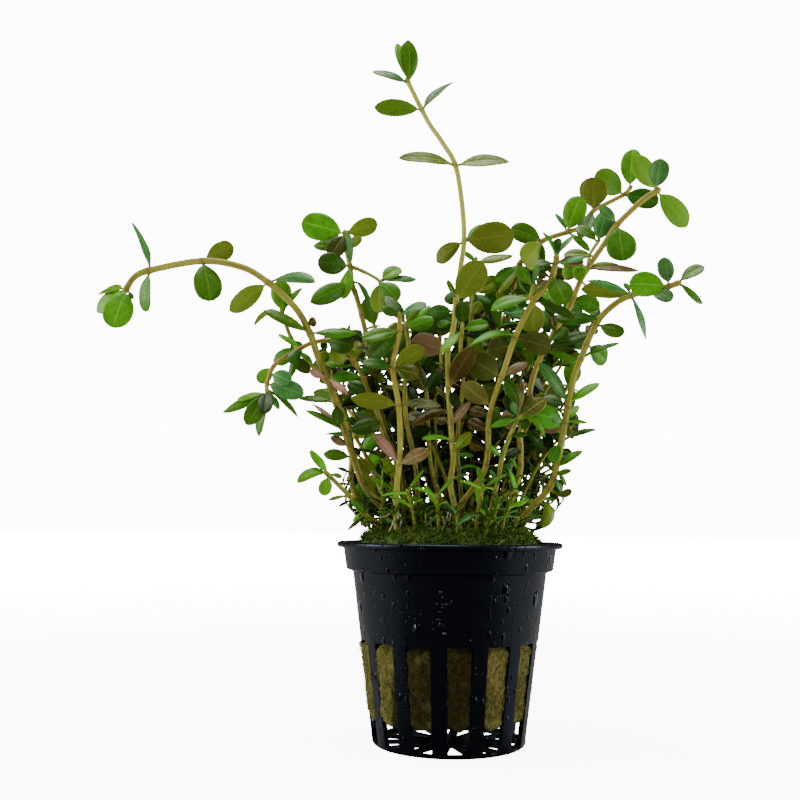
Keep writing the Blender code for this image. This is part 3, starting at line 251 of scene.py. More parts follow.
        "route": [(9.2, 51.6), (10.6, 58), (12.1, 64), (12.9, 68.6), (14.8, 74), (17.2, 79.2)],
        "depth": (-12, -14, -17), "stem": (1.2, 1.1), "bark": ("tan", "green"), "tints": "gvkdgv",
        "leaves": [(5, 23.5, 74, -1, 2.4, 50, 21, 81), (5, 13.8, 84.3, -1, 3.4, 30),
            (5, 20.6, 84.6, 2, 3, 40), (4, 19.2, 74.5, -2, 2, 50), (3, 9.8, 71.8, -2, 1.9, 40),
            (3, 17.3, 70.8, 2, 3, 30)]},
    "low_shoot_right": {
        "route": [(16.2, 51.6), (18.6, 57.5), (20, 63.5), (21.6, 66.8), (23.6, 70.6), (25.1, 74)],
        "depth": (2, 2, 0), "stem": (1.2, 0.9), "bark": ("tan", "green"), "tints": "odd",
        "leaves": [(3, 20.5, 73.3, 0, 2.6, 15), (3.9, 19, 75.7, -2, 2.6, 40), (2.2, 17.6, 66, 1, 2.8, 30)]},
}

# Smaller leaves of these shoots: where on the route, tip x, tip z, tip's depth from its foot, width,
# roll, tint[, middle x, middle z].
SMALL_LEAVES = {
    "arching_shoot_left": [
        (16, -81.2, 108.8, 1, 1.6, 40, "g"), (8.45, -33.9, 103.2, -0.6, 2.5, 10, "z"),
        (3.5, -17.2, 69, 1, 1.3, 60, "v"), (2.9, -18.5, 60, 2, 2.6, 20, "o")],
    "drooping_shoot_left": [
        (11.2, -34.7, 92.6, 0, 1.4, 30, "g"), (4.1, -21.5, 70.6, 2, 3.4, 10, "g"),
        (9.3, -24.4, 96.9, -3, 5, 15, "d"), (7.2, -31.5, 92.3, 2, 2.6, 35, "g"),
        (7.4, -27.6, 93, 1, 2.4, 30, "v"), (6.6, -29.6, 88.6, 1, 3.2, 30, "g"),
        (5.6, -25.6, 87.4, 1, 3.8, 20, "d"), (7, -20.2, 90.4, -2, 3, 20, "d"),
        (2.9, -22.6, 70.4, -1, 1.2, 60, "z", -18.5, 70.6)],
    "rear_shoot_left": [(2.4, -28, 66, -1, 1.2, 40, "g"), (2, -28.5, 62, 1, 1.1, 50, "d")],
    "low_shoot_left": [
        (1.7, -27.5, 56.4, -1, 1.1, 50, "v"), (1.1, -23.9, 52.7, 0, 1.3, 40, "b"),
        (0.9, -24.2, 51.5, 1, 1.1, 50, "g"), (0.8, -25.2, 50.6, -1, 1.2, 40, "k"),
        (1.9, -21, 54.8, 2, 1.7, 30, "g")],
    "crown_shoot_left": [(1.6, -19.8, 66.8, 0, 4.6, 20, "v"), (2.6, -22, 72, 1, 3.6, 30, "v")],
    "front_shoot_left": [(6, -10, 89.2, 1, 1.6, 50, "b"), (1.4, -6, 57.2, 1, 1.8, 45, "g")],
    "middle_shoot_left": [(7, -8.2, 108, 2, 3, 30, "o")],
    "middle_shoot_rear": [(5.4, 7.8, 107.9, -1, 3, 25, "o"), (6, 10.2, 107.8, -1, 2.4, 35, "t")],
    "tall_shoot": [
        (3.6, 5.2, 72.6, -1, 1.5, 40, "b"), (2.2, 4.6, 64.5, 1, 1.2, 50, "g"),
        (8.6, -5.5, 105.3, 2, 3.6, 15, "d"), (8.1, -3.4, 102.2, 2, 2.4, 40, "g"),
        (5.4, -3.5, 86.5, 1, 1.7, 40, "z"), (3.2, 6, 69.3, 1, 1.4, 40, "g")],
    "front_shoot_right": [
        (3, 2, 65.6, -1, 1.1, 60, "g", 5, 68.2), (2.2, 8.8, 63.4, 1, 1.3, 50, "b"),
        (11, 10.2, 105.8, 1, 4, 50, "g", 15, 109.8), (10.7, 17, 107.6, 2, 2.4, 20, "d"),
        (11.2, 25.2, 110.4, 2, 2.6, 20, "b"), (12.2, 22, 115.6, -1, 2.6, 30, "k"),
        (13.3, 33.5, 118.2, -1, 3, 40, "p"), (8.6, 9.6, 95.8, 1, 5, 165, "k"),
        (8, 11.5, 92.5, 3, 4, 20, "v"), (7, 19.2, 92.6, 1, 2.8, 30, "p"), (4.8, 12, 81.4, 1, 2.4, 20, "d")],
    "front_branch_right": [(2, 22.6, 117.9, 0, 2, 50, "t"), (1, 24.2, 113.2, 0.5, 1.8, 40, "o")],
    "crown_shoot_right": [
        (7.3, 10.1, 110.3, -2, 3.6, 30, "d"), (7, 12.4, 110, -3, 3, 30, "o"),
        (7.2, 20.2, 112.4, -3, 3.6, 20, "v"), (7, 19.4, 110.3, -4, 1.4, 60, "t", 17, 111.5)],
    "inner_shoot_right": [
        (5, 10.1, 76.4, -2, 2, 40, "g"), (4.9, 15.5, 82.8, -1, 2.2, 30, "t"),
        (5, 19.6, 76.6, 0, 3.2, 20, "d"), (5, 14.2, 89.3, 0, 3.2, 15, "d"),
        (5, 18, 88.2, 1, 2.6, 30, "p"), (4.9, 13, 78, 2, 4.6, 165, "p"), (5, 23.6, 83.4, 1, 3.9, 15, "m")],
    "tall_shoot_right": [
        (11.3, 37.5, 105, 2, 1.6, 50, "t", 36.4, 110.6), (6.8, 17.7, 87.3, 1, 1.6, 30, "p"),
        (3, 15, 68.6, -1, 1.4, 45, "g"), (12, 29.3, 113.5, 1, 4.6, 20, "b", 30.5, 119.3),
        (10, 37, 106, -1, 4.4, 20, "g", 33.5, 109.5), (9, 22.2, 106, 1, 2.8, 30, "t"),
        (10.2, 24.6, 110.4, -3, 4.6, 20, "d")],
    "arching_shoot_right": [
        (13, 43.6, 112.8, 1, 1.6, 40, "g"), (7.6, 25.8, 86.8, 1, 1.0, 60, "g"),
        (6, 24.8, 78.8, -2, 2.4, 30, "t"), (4.3, 29.8, 69.4, 1, 1.3, 50, "t"),
        (3.8, 23.4, 67.6, 1, 1.4, 50, "d"), (3.8, 22.8, 63.8, -1, 1.4, 50, "d"),
        (3.5, 20.5, 63, 1, 1.3, 50, "v"), (4, 28.6, 62, 0, 1.4, 40, "g"),
        (3.7, 27.3, 60.4, -1, 1.6, 40, "t")],
    "low_shoot_right": [(3.5, 17.9, 66, 1, 1.8, 40, "d"), (4, 19.2, 75.4, -1, 2.8, 25, "t")],
}

# Outline of the dense part of the bunch as seen from the front.
DENSE = [
    (-25, 57), (-26, 64), (-23, 72), (-28, 79), (-33, 88), (-33, 99), (-27.5, 101), (-22, 100),
    (-14.5, 100), (-12, 102.5), (-7.5, 104.5), (-2.5, 106), (3, 107.5), (6.2, 111), (12.5, 115),
    (17.5, 116), (24.5, 119), (29, 115), (31, 110), (37, 106.5), (37.5, 101), (34, 96), (31.5, 89.5),
    (30.5, 80.5), (30.5, 73), (27.5, 63), (24.5, 54), (22, 51), (-21, 51),
]

# Places in the dense part where light shows through, as seen from the front: x, z, radius.
OPENINGS = [
    (27, 89, 2.5), (-23, 72.5, 1.6), (-20, 68.5, 1.7), (23.5, 66, 1.6), (20, 65, 1.1), (18, 59, 1),
    (22.5, 59.5, 1.1), (-24, 80, 1), (29, 72, 1.2), (13, 54.5, 0.7), (20, 52.5, 1.1), (-18, 54, 0.9),
    (-8, 84.5, 0.7), (-16, 89, 0.6), (33, 101, 1), (-24, 101.5, 0.9),
]

# Shoots of the bunch's rear half: angle round the axis from +X towards +Y, how far out the foot
# stands, height of the tip, and how far the tip leans outwards.
REAR_SHOOTS = [
    (12, 15, 88, 16), (58, 10, 112, 17), (40, 16, 84, 20), (82, 14, 104, 22), (98, 5, 104, 16),
    (104, 16, 78, 19), (128, 11, 108, 24), (150, 16, 86, 18), (166, 9, 99, 20), (-168, 15, 74, 9),
]
REAR_STEM = (1.5, 1.0)       # diameter at foot and tip
REAR_POINTS = 5              # stretches in a rear shoot's route
REAR_STEP = 13.0             # length of stem between two pairs of leaves
REAR_FIRST = 14.0            # length of bare stem below the first pair
REAR_LEAF = (6.5, 9.0)       # shortest and longest
REAR_LEAF_RATIO = 0.56       # width to length
REAR_RISE = 32               # degrees by which the leaves rise from square to the stem
REAR_TINTS = ("gobgdgto", "dgtogbgo", "obgdggzt", "ggodtbgd")
REAR_BARKS = (("tan", "green"), ("tan", "orange"), ("green", "tan"))
LEAN_POWER = 1.6             # how late a shoot leans outwards

# Low sprigs: angle and distance of the foot, height, and lean outwards.
SPRIGS = [
    (-117, 17.5, 9, 4), (-98, 17.5, 8, 4), (-70, 17.5, 10, 5), (-47, 17.8, 9, 5), (-8, 18, 8, 5),
    (60, 16, 11, 5), (118, 14.5, 12, 6),
]
SPRIG_STEM = (0.9, 0.7)
SPRIG_POINTS = 2
SPRIG_STEP = 5.0
SPRIG_LEAF = (6.4, 6.4)
SPRIG_LEAF_RATIO = 0.235
SPRIG_RISE = 30

# Spread of the rule-made leaves, and the other places each may take where there is no room
TURN_SPREAD = 12
RISE_SPREAD = 14
TURNS = (0, 14, -14, 28, -28, 42, -42)
SHORTER = (1.0, 0.8, 0.6)


# Net pot, rock wool and moss: radii, heights and widths
LIP_R = 27.5
WALL_T = 1.1
BASE_R = 18.3
BODY_TOP_R = 23.6
BODY_TOP_Z = 40.9
RIBS = 14
RIB_W = 3.5
FIRST_RIB = math.radians(-6.3)
SLOT_IN_R = 16.1
SLOT_TOP_Z = 24.9
SLOT_FOOT_Z = 1.0
SPOKE_W = 2.2
FLOOR_SLOT_R = 6.0, 15.9
FLOOR_SLOT_Z = -1, 1.3
WOOL_FOOT_Z = 6.4
WOOL_TOP_Z = 46.0
WOOL_ROWS = 64
MOSS_R = 21.6
MOSS_FOOT_Z = 46.2
MOSS_COLUMNS = 120
MOSS_RINGS = 26


# Settings

COLOR = {"subtype": "COLOR", "min": 0, "max": 1}


class RotalaPotSettings(bpy.types.PropertyGroup):
    steps: IntProperty(
        name="Steps", description="Facets round the pot, a multiple of its ribs",
        default=168, min=28)
    edge: FloatProperty(
        name="Edge Rounding", description="Rounding of the slots' edges in metres",
        default=0.00022, unit="LENGTH")
    bead_size: FloatProperty(
        name="Bead Size", description="Spacing of the large wet beads in metres",
        default=0.0034, unit="LENGTH")
    color: FloatVectorProperty(
        name="Plastic", description="Colour of the moulded plastic",
        default=(0.0012, 0.0014, 0.0022), **COLOR)


class RotalaWoolSettings(bpy.types.PropertyGroup):
    fibres: IntProperty(
        name="Fibres", description="Loose fibres on the plug", default=2400, min=0)
    olive: FloatVectorProperty(
        name="Olive", description="Colour of the clean fibre",
        default=(0.20, 0.185, 0.045), **COLOR)
    brown: FloatVectorProperty(
        name="Brown", description="Colour of the stained fibre",
        default=(0.016, 0.010, 0.0015), **COLOR)


class RotalaMossSettings(bpy.types.PropertyGroup):
    strands: IntProperty(
        name="Strands", description="Strands that stand on the pad", default=6500, min=0)
    length: FloatProperty(
        name="Strand Length", description="Length of the longest strands in metres",
        default=0.0019, unit="LENGTH")
    dark: FloatVectorProperty(
        name="Dark Green", description="Colour low down between the strands",
        default=(0.012, 0.044, 0.002), **COLOR)
    light: FloatVectorProperty(
        name="Light Green", description="Colour of the strands' tips",
        default=(0.10, 0.22, 0.008), **COLOR)


class RotalaLeafSettings(bpy.types.PropertyGroup):
    thickness: FloatProperty(
        name="Thickness", description="Thickness of a blade in metres",
        default=0.00032, unit="LENGTH")
    fold: FloatProperty(
        name="Fold", description="Rise of a blade's sides as a share of its width", default=0.12)
    roughness: FloatProperty(
        name="Roughness", description="Roughness of the upper side", default=0.3, min=0, max=1)


class RotalaGrowthSettings(bpy.types.PropertyGroup):
    inner_shoots: IntProperty(
        name="Inner Shoots", description="Thin shoots inside the bunch", default=260, min=0)
    side_shoots: FloatProperty(
        name="Side Shoots", description="Share of the nodes that carry a short side shoot",
        default=0.8, min=0, max=1)
    undergrowth: IntProperty(
        name="Undergrowth", description="Low shoots with narrow leaves over the moss",
        default=120, min=0)
    inner_leaves: FloatProperty(
        name="Inner Leaves", description="Share of the last gaps in the bunch that a leaf fills",
        default=1.0, min=0, max=1)


class RotalaStemSettings(bpy.types.PropertyGroup):
    node_swell: FloatProperty(
        name="Node Swelling", description="How much thicker a stem is at a pair of leaves",
        default=0.14)
    sides: IntProperty(name="Sides", description="Facets round a stem", default=10, min=3)


class RotalaStageSettings(bpy.types.PropertyGroup):
    lens: FloatProperty(name="Lens", description="Focal length in millimetres", default=47.12)
    key_light: FloatProperty(
        name="Key Light", description="Power of the overhead light in watts", default=5.5)
    side_light: FloatProperty(
        name="Side Lights", description="Power of each side light in watts", default=3.2)
    front_light: FloatProperty(
        name="Front Light", description="Power of the weak light in front in watts", default=0.9)
    ambient: FloatProperty(
        name="Ambient", description="Strength of the pale surroundings", default=0.22)
    backdrop: FloatProperty(
        name="Backdrop", description="Brightness of the background that the camera sees",
        default=16)


# Meshes

class Form:
    """Vertices, faces and their marks, gathered before they become one mesh.

    Each vertex has four marks: along and across the blade or stem it is on, shade, which is 1 on
    a blade's underside or at a stem's node, and vary, which is one random number to each leaf.
    """
    MARKS = ("along", "across", "shade", "vary")

    def __init__(self):
        self.verts = []
        self.marks = []
        self.faces = []
        self.slots = []
        self.materials = []

    def slot(self, material):
        if material not in self.materials:
            self.materials.append(material)
        return self.materials.index(material)

    def vert(self, point, along=0.0, across=0.0, shade=0.0, vary=0.5):
        self.verts.append(point * MM)
        self.marks.append((along, across, shade, vary))
        return len(self.verts) - 1

    def face(self, corners, slot):
        self.faces.append(corners)
        self.slots.append(slot)

    def bridge(self, low, high, slot, closed=True):
        """Quads between two loops of the same length."""
        count = len(low)
        for k in range(count if closed else count - 1):
            after = (k + 1) % count
            self.face((low[k], low[after], high[after], high[k]), slot)

    def fan(self, loop, centre, slot):
        """Triangles between a loop and one vertex."""
        for k, corner in enumerate(loop):
            self.face((corner, loop[(k + 1) % len(loop)], centre), slot)

    def build(self, name, body="root", replaces=(), slot=None):
        mesh = bpy.data.meshes.new(name)
        mesh.from_pydata(self.verts, [], self.faces)
        mesh.polygons.foreach_set("material_index", self.slots)
        mesh.polygons.foreach_set("use_smooth", [True] * len(self.faces))
        for k, mark in enumerate(self.MARKS):
            layer = mesh.attributes.new(mark, "FLOAT", "POINT")
            layer.data.foreach_set("value", [row[k] for row in self.marks])
        for material in self.materials:
            mesh.materials.append(material)
        mesh.validate()
        return place_piece(name, mesh, body, replaces, slot)


def add_object(name, data):
    obj = bpy.data.objects.new(name, data)
    bpy.context.scene.collection.objects.link(obj)
    return obj


def place_piece(name, mesh, body="root", replaces=(), slot=None):
    """Put a finished mesh in the scene, riding on a body."""
    piece = add_object(name, mesh)
    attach(piece, body)
    if replaces:
        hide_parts(*replaces)
    return piece


def curve_frames(points):
    """For each point of a path, its direction and two directions square to it, without twist."""
    frames = []
    side = None
    for k in range(len(points)):
        before = points[max(k - 1, 0)]
        after = points[min(k + 1, len(points) - 1)]
        along = (after - before).normalized()
        if side is None:
            side = along.cross(Vector((0.3, 1, 0.2))).normalized()
        side = (side - along * side.dot(along)).normalized()
        frames.append((along, side, along.cross(side)))
    return frames


def sweep(form, points, radii, sides, slot, shades=None, vary=0.5):
    """Closed round tube along a path."""
    loops = []
    frames = curve_frames(points)
    for k, (point, radius, (_, side, up)) in enumerate(zip(points, radii, frames)):
        along = k / (len(points) - 1)
        shade = shades[k] if shades else 0.0
        loop = []
        for n in range(sides):
            angle = 2 * math.pi * n / sides
            offset = side * math.cos(angle) + up * math.sin(angle)
            loop.append(form.vert(point + offset * radius, along, math.cos(angle), shade, vary))
        loops.append(loop)
    for low, high in zip(loops, loops[1:]):
        form.bridge(low, high, slot)
    form.face(tuple(reversed(loops[0])), slot)
    form.face(tuple(loops[-1]), slot)


def smooth_path(points, parts):
    """Catmull-Rom curve through the points, with so many parts between each two."""
    ends = [points[0] * 2 - points[1]] + list(points) + [points[-1] * 2 - points[-2]]
    path = []
    for k in range(len(points) - 1):
        a, b, c, d = ends[k:k + 4]
        for n in range(parts):
            t = n / parts
            path.append((b * 2 + (c - a) * t + (a * 2 - b * 5 + c * 4 - d) * t * t
                         + (b * 3 - a - c * 3 + d) * t * t * t) / 2)
    path.append(points[-1].copy())
    return path


# Routes of the stems, as the solid model has them

def seen(x, z, y):
    """Point in millimetres at depth y that looks to be at x, z in the front view."""
    share = (y - EYE.y) / -EYE.y
    return EYE + (Vector((x, 0, z)) - EYE) * share


def spread(values, count):
    """The values spread evenly over count places, straight between them."""
    result = []
    for k in range(count):
        at = k / (count - 1) * (len(values) - 1)
        low = min(int(at), len(values) - 2)
        result.append(values[low] + (values[low + 1] - values[low]) * (at - low))
    return result


def on_route(route, at):
    """Point on a route at a place such as 3.5, halfway from its fourth to its fifth point."""
    at = min(at, len(route) - 1 - LAST_PAIR)
    low = int(at)
    return route[low].lerp(route[low + 1], at - low)


def along_at(route, place):
    """Direction of a route at a place on it."""
    low = min(int(place), len(route) - 2)
    return (route[low + 1] - route[low]).normalized()


def outwards(along, turn):
    """Direction square to a stem, at so many degrees round it."""
    reference = along.cross(Vector((0, 1, 0))).normalized()
    return Matrix.Rotation(math.radians(turn), 3, along) @ reference


def stand_on_moss(route, widths):
    """The route with its foot as high as the stem's end stands on the moss."""
    run = along_at(route, 0)
    slant = math.hypot(run.x, run.y)
    route[0].z = MOSS_TOP_Z + GAP + widths[0] / 2 * slant
    return route


def leaning_route(angle, foot_r, height, lean, points):
    """Route that rises from the moss and leans outwards more and more."""
    out = Vector((math.cos(angle), math.sin(angle), 0))
    foot = out * foot_r + Vector((0, 0, MOSS_TOP_Z))
    return [foot + out * lean * (k / points) ** LEAN_POWER + Vector((0, 0, height * k / points))
            for k in range(points + 1)]


def all_routes():
    """Every shoot's route in millimetres and its stem's diameters at foot and tip, by name."""
    routes = {}
    for name, shoot in SHOOTS.items():
        depths = spread(shoot["depth"], len(shoot["route"]))
        route = [seen(x, z, y) for (x, z), y in zip(shoot["route"], depths)]
        if "parent" in shoot:
            reach = (SHOOTS[shoot["parent"]]["stem"][1] + shoot["stem"][0]) / 2
            route[0] = route[0] + along_at(route, 0) * (reach + GAP + BRANCH_SLANT)
        else:
            route = stand_on_moss(route, shoot["stem"])
        routes[name] = route, shoot["stem"]
    for k, (angle, foot_r, top, lean) in enumerate(REAR_SHOOTS):
        route = leaning_route(math.radians(angle), foot_r, top - MOSS_TOP_Z, lean, REAR_POINTS)
        routes[f"rear_shoot_{k + 1}"] = stand_on_moss(route, REAR_STEM), REAR_STEM
    for k, (angle, foot_r, height, lean) in enumerate(SPRIGS):
        route = leaning_route(math.radians(angle), foot_r, height, lean, SPRIG_POINTS)
        routes[f"sprig_{k + 1}"] = stand_on_moss(route, SPRIG_STEM), SPRIG_STEM
    return routes


# Blades

class Crowd:
    """Points of what has grown, kept in cells, to find where there is room for more."""
    CELL = 1.3

    def __init__(self):
        self.cells = {}
        self.hidden = set()
        self.stems = []

    def key(self, point):
        return tuple(math.floor(part / self.CELL) for part in point)

    def add(self, points):
        for point in points:
            self.cells.setdefault(self.key(point), []).append(point.copy())

    def may_hold(self, leaf, gap):
        """Whether a leaf has room, in the dense part and in front of the growth's rear limit."""
        return view_cell(leaf.tip) in DENSE_CELLS and self.has_room(leaf.spots(), gap) \
            and len(leaf.hides() & LIGHT_CELLS) < 4 and leaf.tip.y < INNER_BACK

    def has_room(self, points, gap):
        for point in points:
            x, y, z = self.key(point)
            for cell in CELLS_ROUND:
                for other in self.cells.get((x + cell[0], y + cell[1], z + cell[2]), ()):
                    if (other - point).length < gap:
                        return False
        return True


CELLS_ROUND = [(i, j, k) for i in (-1, 0, 1) for j in (-1, 0, 1) for k in (-1, 0, 1)]
CROWD = Crowd()
VIEW_CELL = 0.5          # side of the cells in which the front view is counted


def view_cell(point):
    """Cell of the front view in which a point is seen."""
    share = -EYE.y / (point.y - EYE.y)
    x = EYE.x + (point.x - EYE.x) * share
    z = EYE.z + (point.z - EYE.z) * share
    return math.floor(x / VIEW_CELL), math.floor(z / VIEW_CELL)


def inside_outline(x, z, outline):
    inside = False
    for (ax, az), (bx, bz) in zip(outline, outline[1:] + outline[:1]):
        if (az > z) != (bz > z) and x < ax + (bx - ax) * (z - az) / (bz - az):
            inside = not inside
    return inside


def dense_cells():
    """Cells of the front view inside the dense part, and those where light shows through."""
    dense, light = set(), set()
    columns, rows = [range(math.floor(min(values) / VIEW_CELL), math.ceil(max(values) / VIEW_CELL))
                     for values in zip(*DENSE)]
    for i in columns:
        for k in rows:
            x, z = (i + 0.5) * VIEW_CELL, (k + 0.5) * VIEW_CELL
            if not inside_outline(x, z, DENSE):
                continue
            dense.add((i, k))
            if any(math.hypot(x - ax, z - az) < radius for ax, az, radius in OPENINGS):
                light.add((i, k))
    return dense, light


DENSE_CELLS, LIGHT_CELLS = dense_cells()


class Leaf:
    """A blade along a curve from its foot on the stem to its tip, with its upper side's direction."""

    def __init__(self, foot, tip, up, width, middle=None):
        self.foot = foot
        self.tip = tip
        self.up = up
        self.width = width
        chord = tip - foot
        self.middle = middle or foot + chord / 2 + up * chord.length * LEAF_BEND

    def spots(self):
        """Points spread over the blade, away from its foot."""
        length = (self.tip - self.foot).length
        count = max(2, round(length / 1.2))
        result = []
        for k in range(count + 1):
            s = 0.25 + 0.75 * k / count
            point, across, _ = self.frame(s)
            reach = self.width / 2 * 0.85 * math.sqrt(max(0, 4 * s * (1 - s)))
            result += [point] if reach < 0.5 else [point, point + across * reach,
                                                   point - across * reach]
        return result

    def hides(self):
        """Cells of the front view that the blade hides."""
        cells = set()
        steps = max(3, round((self.tip - self.foot).length / 0.4))
        for k in range(steps + 1):
            s = 0.12 + 0.86 * k / steps
            point, across, _ = self.frame(s)
            reach = self.width / 2 * 0.9 * math.sqrt(max(0, 4 * s * (1 - s)))
            count = max(1, math.ceil(reach / 0.4))
            cells.update(view_cell(point + across * reach * n / count)
                         for n in range(-count, count + 1))
        return cells

    def frame(self, s):
        """Centre line point, direction across and direction up at share s of the way to the tip."""
        rest = 1 - s
        point = self.foot * rest * rest + self.middle * 2 * rest * s + self.tip * s * s
        along = ((self.middle - self.foot) * rest + (self.tip - self.middle) * s).normalized()
        across = self.up.cross(along).normalized()
        return point, across, along.cross(across)


def facing(foot, tip, roll):
    """Upper side's direction of a blade whose roll is stated against the line of sight."""
    along = (tip - foot).normalized()
    to_eye = EYE - foot
    to_eye = (to_eye - along * to_eye.dot(along)).normalized()
    sideways = along.cross(to_eye)
    if sideways.z < 0:
        sideways.negate()
    angle = math.radians(roll)
    return to_eye * math.cos(angle) + sideways * math.sin(angle)


def seen_leaf_choices(route, entry):
    """The leaf as it is read from the front view, then the same sight line at other depths."""
    at, x, z, depth, width, roll = entry[:6]
    foot = on_route(route, at)
    width *= (foot.y - EYE.y) / -EYE.y
    for taper in TAPERS:
        for shift in SHIFTS:
            tip = seen(x, z, foot.y + depth + shift)
            middle = None
            if len(entry) > 6:
                middle = seen(entry[6], entry[7], foot.y + (depth + shift) / 2)
            yield Leaf(foot, tip, facing(foot, tip, roll), width * taper, middle)


def grown_leaf_choices(foot, along, turn, length, width, rise):
    """A leaf at an angle round its stem, then the same leaf turned or made smaller."""
    for share in SHORTER:
        for swing in TURNS:
            around = outwards(along, turn + swing)
            direction = (around * math.cos(rise) + along * math.sin(rise)).normalized()
            up = along - direction * along.dot(direction)
            yield Leaf(foot, foot + direction * length * share, up.normalized(), width * share)


def pair_places(route, first, step):
    """Places on a route, measured in its points, at even lengths of stem, and at its end."""
    lengths = [(b - a).length for a, b in zip(route, route[1:])]
    places = []
    at = first
    while at < sum(lengths) - 0.5:
        low = 0
        rest = at
        while rest > lengths[low]:
            rest -= lengths[low]
            low += 1
        places.append(low + rest / lengths[low])
        at += step
    return places + [len(route) - 1 - LAST_PAIR]


def grown_leaves(route, rng, first, step, size, ratio, rise):
    """Opposite pairs along a route, each pair turned a quarter from the one below."""
    turn = rng.uniform(0, 180)
    for place in pair_places(route, first, step):
        foot = on_route(route, place)
        along = along_at(route, place)
        for side in (0, 180):
            length = rng.uniform(*size)
            tilt = math.radians(rise + rng.uniform(-RISE_SPREAD, RISE_SPREAD))
            yield list(grown_leaf_choices(foot, along, turn + side, length, length * ratio, tilt))
        turn += 90 + rng.uniform(-TURN_SPREAD, TURN_SPREAD)


def leaves_to_place(name, route, rng):
    """For each leaf of a shoot, the choices it may take."""
    if name in SHOOTS:
        return [seen_leaf_choices(route, entry) for entry in SHOOTS[name]["leaves"]]
    if name.startswith("sprig"):
        return grown_leaves(route, rng, SPRIG_STEP, SPRIG_STEP, SPRIG_LEAF, SPRIG_LEAF_RATIO,
                            SPRIG_RISE)
    return grown_leaves(route, rng, REAR_FIRST, REAR_STEP, REAR_LEAF, REAR_LEAF_RATIO, REAR_RISE)


def solid_corners(node):
    """Search tree of a solid's corners."""
    mesh = frame["nodes"][node].data
    tree = KDTree(len(mesh.vertices))
    for vert in mesh.vertices:
        tree.insert(vert.co / MM, vert.index)
    tree.balance()
    return tree


def leaf_in_solid(choices, corners):
    """The choice that the solid has: both side corners of its blade's middle are there."""
    for leaf in choices:
        point, across, _ = leaf.frame(0.5)
        sides = [point + across * leaf.width / 2, point - across * leaf.width / 2]
        if all(corners.find(side)[2] < 0.13 for side in sides):
            return leaf
    return None


# Rows along a blade, and the places of its columns across
FINE_BLADE = 12, (-1, -0.84, -0.5, -0.16, 0, 0.16, 0.5, 0.84, 1)
SMALL_BLADE = 6, (-1, -0.6, 0, 0.6, 1)
NARROW_BLADE = 5, (-1, 0, 1)


def blade_outline(s, slender):
    """Half-width at share s of a blade, as a share of its greatest: oval, or a lancet if slender."""
    widest = 0.56 - 0.06 * slender
    if s < widest:
        return (1 - (1 - s / widest) ** (2.2 - 0.2 * slender)) ** (0.82 + 0.13 * slender)
    off = (s - widest) / (1 - widest)
    return max(0.03, 1 - off ** (2.5 - 0.5 * slender)) ** (0.5 + 0.28 * slender)


def edge_of(rows):
    """Loop round the edge of a grid of vertices."""
    return [row[-1] for row in rows] + rows[-1][-2::-1] + [row[0] for row in rows[-2::-1]] \
        + rows[0][1:-1]


def add_blade(form, leaf, stem_r, rng, slot, settings, detail=FINE_BLADE):
    """Thin closed blade with a short stalk, folded along its midrib and a little twisted."""
    length = (leaf.tip - leaf.foot).length
    half = leaf.width / 2
    stalk = min(0.3, (stem_r + 0.35) / length)
    slender = min(1, max(0, (0.52 - leaf.width / length) / 0.26))
    fold = settings.fold * rng.uniform(-0.4, 2.0)
    droop = rng.uniform(0.0, 0.34)
    twist = math.radians(rng.uniform(-16, 16))
    wave = rng.uniform(0.0, 0.05) * half
    phase = rng.uniform(0, 6.28)
    vary = rng.random()
    thick = settings.thickness / MM
    rows, columns = detail
    shares = [0.0, stalk]
    shares += [stalk + (1 - stalk) * (1 - math.cos(math.pi * (k + 1) / rows)) / 2
               for k in range(rows)]
    tops, unders = [], []
    for s in shares:
        point, across, up = leaf.frame(s)
        inner = max(0, (s - stalk) / (1 - stalk))
        reach = max(0.26 if s < 0.9 else 0, half * blade_outline(inner, slender))
        turn = Matrix.Rotation(twist * (s - 0.4), 3, up.cross(across))
        side = turn @ across
        lift = turn @ up
        body = thick * (1.7 - 0.7 * min(1, inner / 0.2))
        top, under = [], []
        for v in columns:
            rise = (fold * abs(v) - droop * v * v) * reach
            rise += wave * math.sin(phase + s * 9 + v * 2) * abs(v) * min(1, inner * 4)
            rib = 0.5 * thick * max(0, 1 - abs(v) / 0.2) * (1 - 0.7 * s)
            rim = body / 2 * (1 - 0.72 * v ** 4)
            middle = point + side * v * reach + lift * rise
            top.append(form.vert(middle + lift * (rim - rib * 0.5), s, v, 0, vary))
            under.append(form.vert(middle - lift * (rim + rib), s, v, 1, vary))
        tops.append(top)
        unders.append(under)
    for low, high in zip(tops, tops[1:]):
        form.bridge(low, high, slot, closed=False)
    for low, high in zip(unders, unders[1:]):
        form.bridge(high, low, slot, closed=False)
    form.bridge(edge_of(unders), edge_of(tops), slot)
    CROWD.add(leaf.spots())
    CROWD.hidden |= leaf.hides()


def node_heights(shoot_leaves, route):
    """Places on a route where leaves sit, and the bare nodes between them."""
    places = sorted(set(round(min(at, len(route) - 1 - LAST_PAIR), 1) for at in shoot_leaves))
    kept = []
    for place in places:
        if not kept or place - kept[-1] > 0.55:
            kept.append(place)
    bare = [place + 0.4 for place in range(1, int(kept[0]))] if kept else []
    return bare + kept


STEM_PARTS = 12
STEM_SHARE = 0.9     # a stem's thickness low down, as a share of its solid's
STEM_TAPER = 2.5     # it keeps its thickness for long, and tapers near its tip


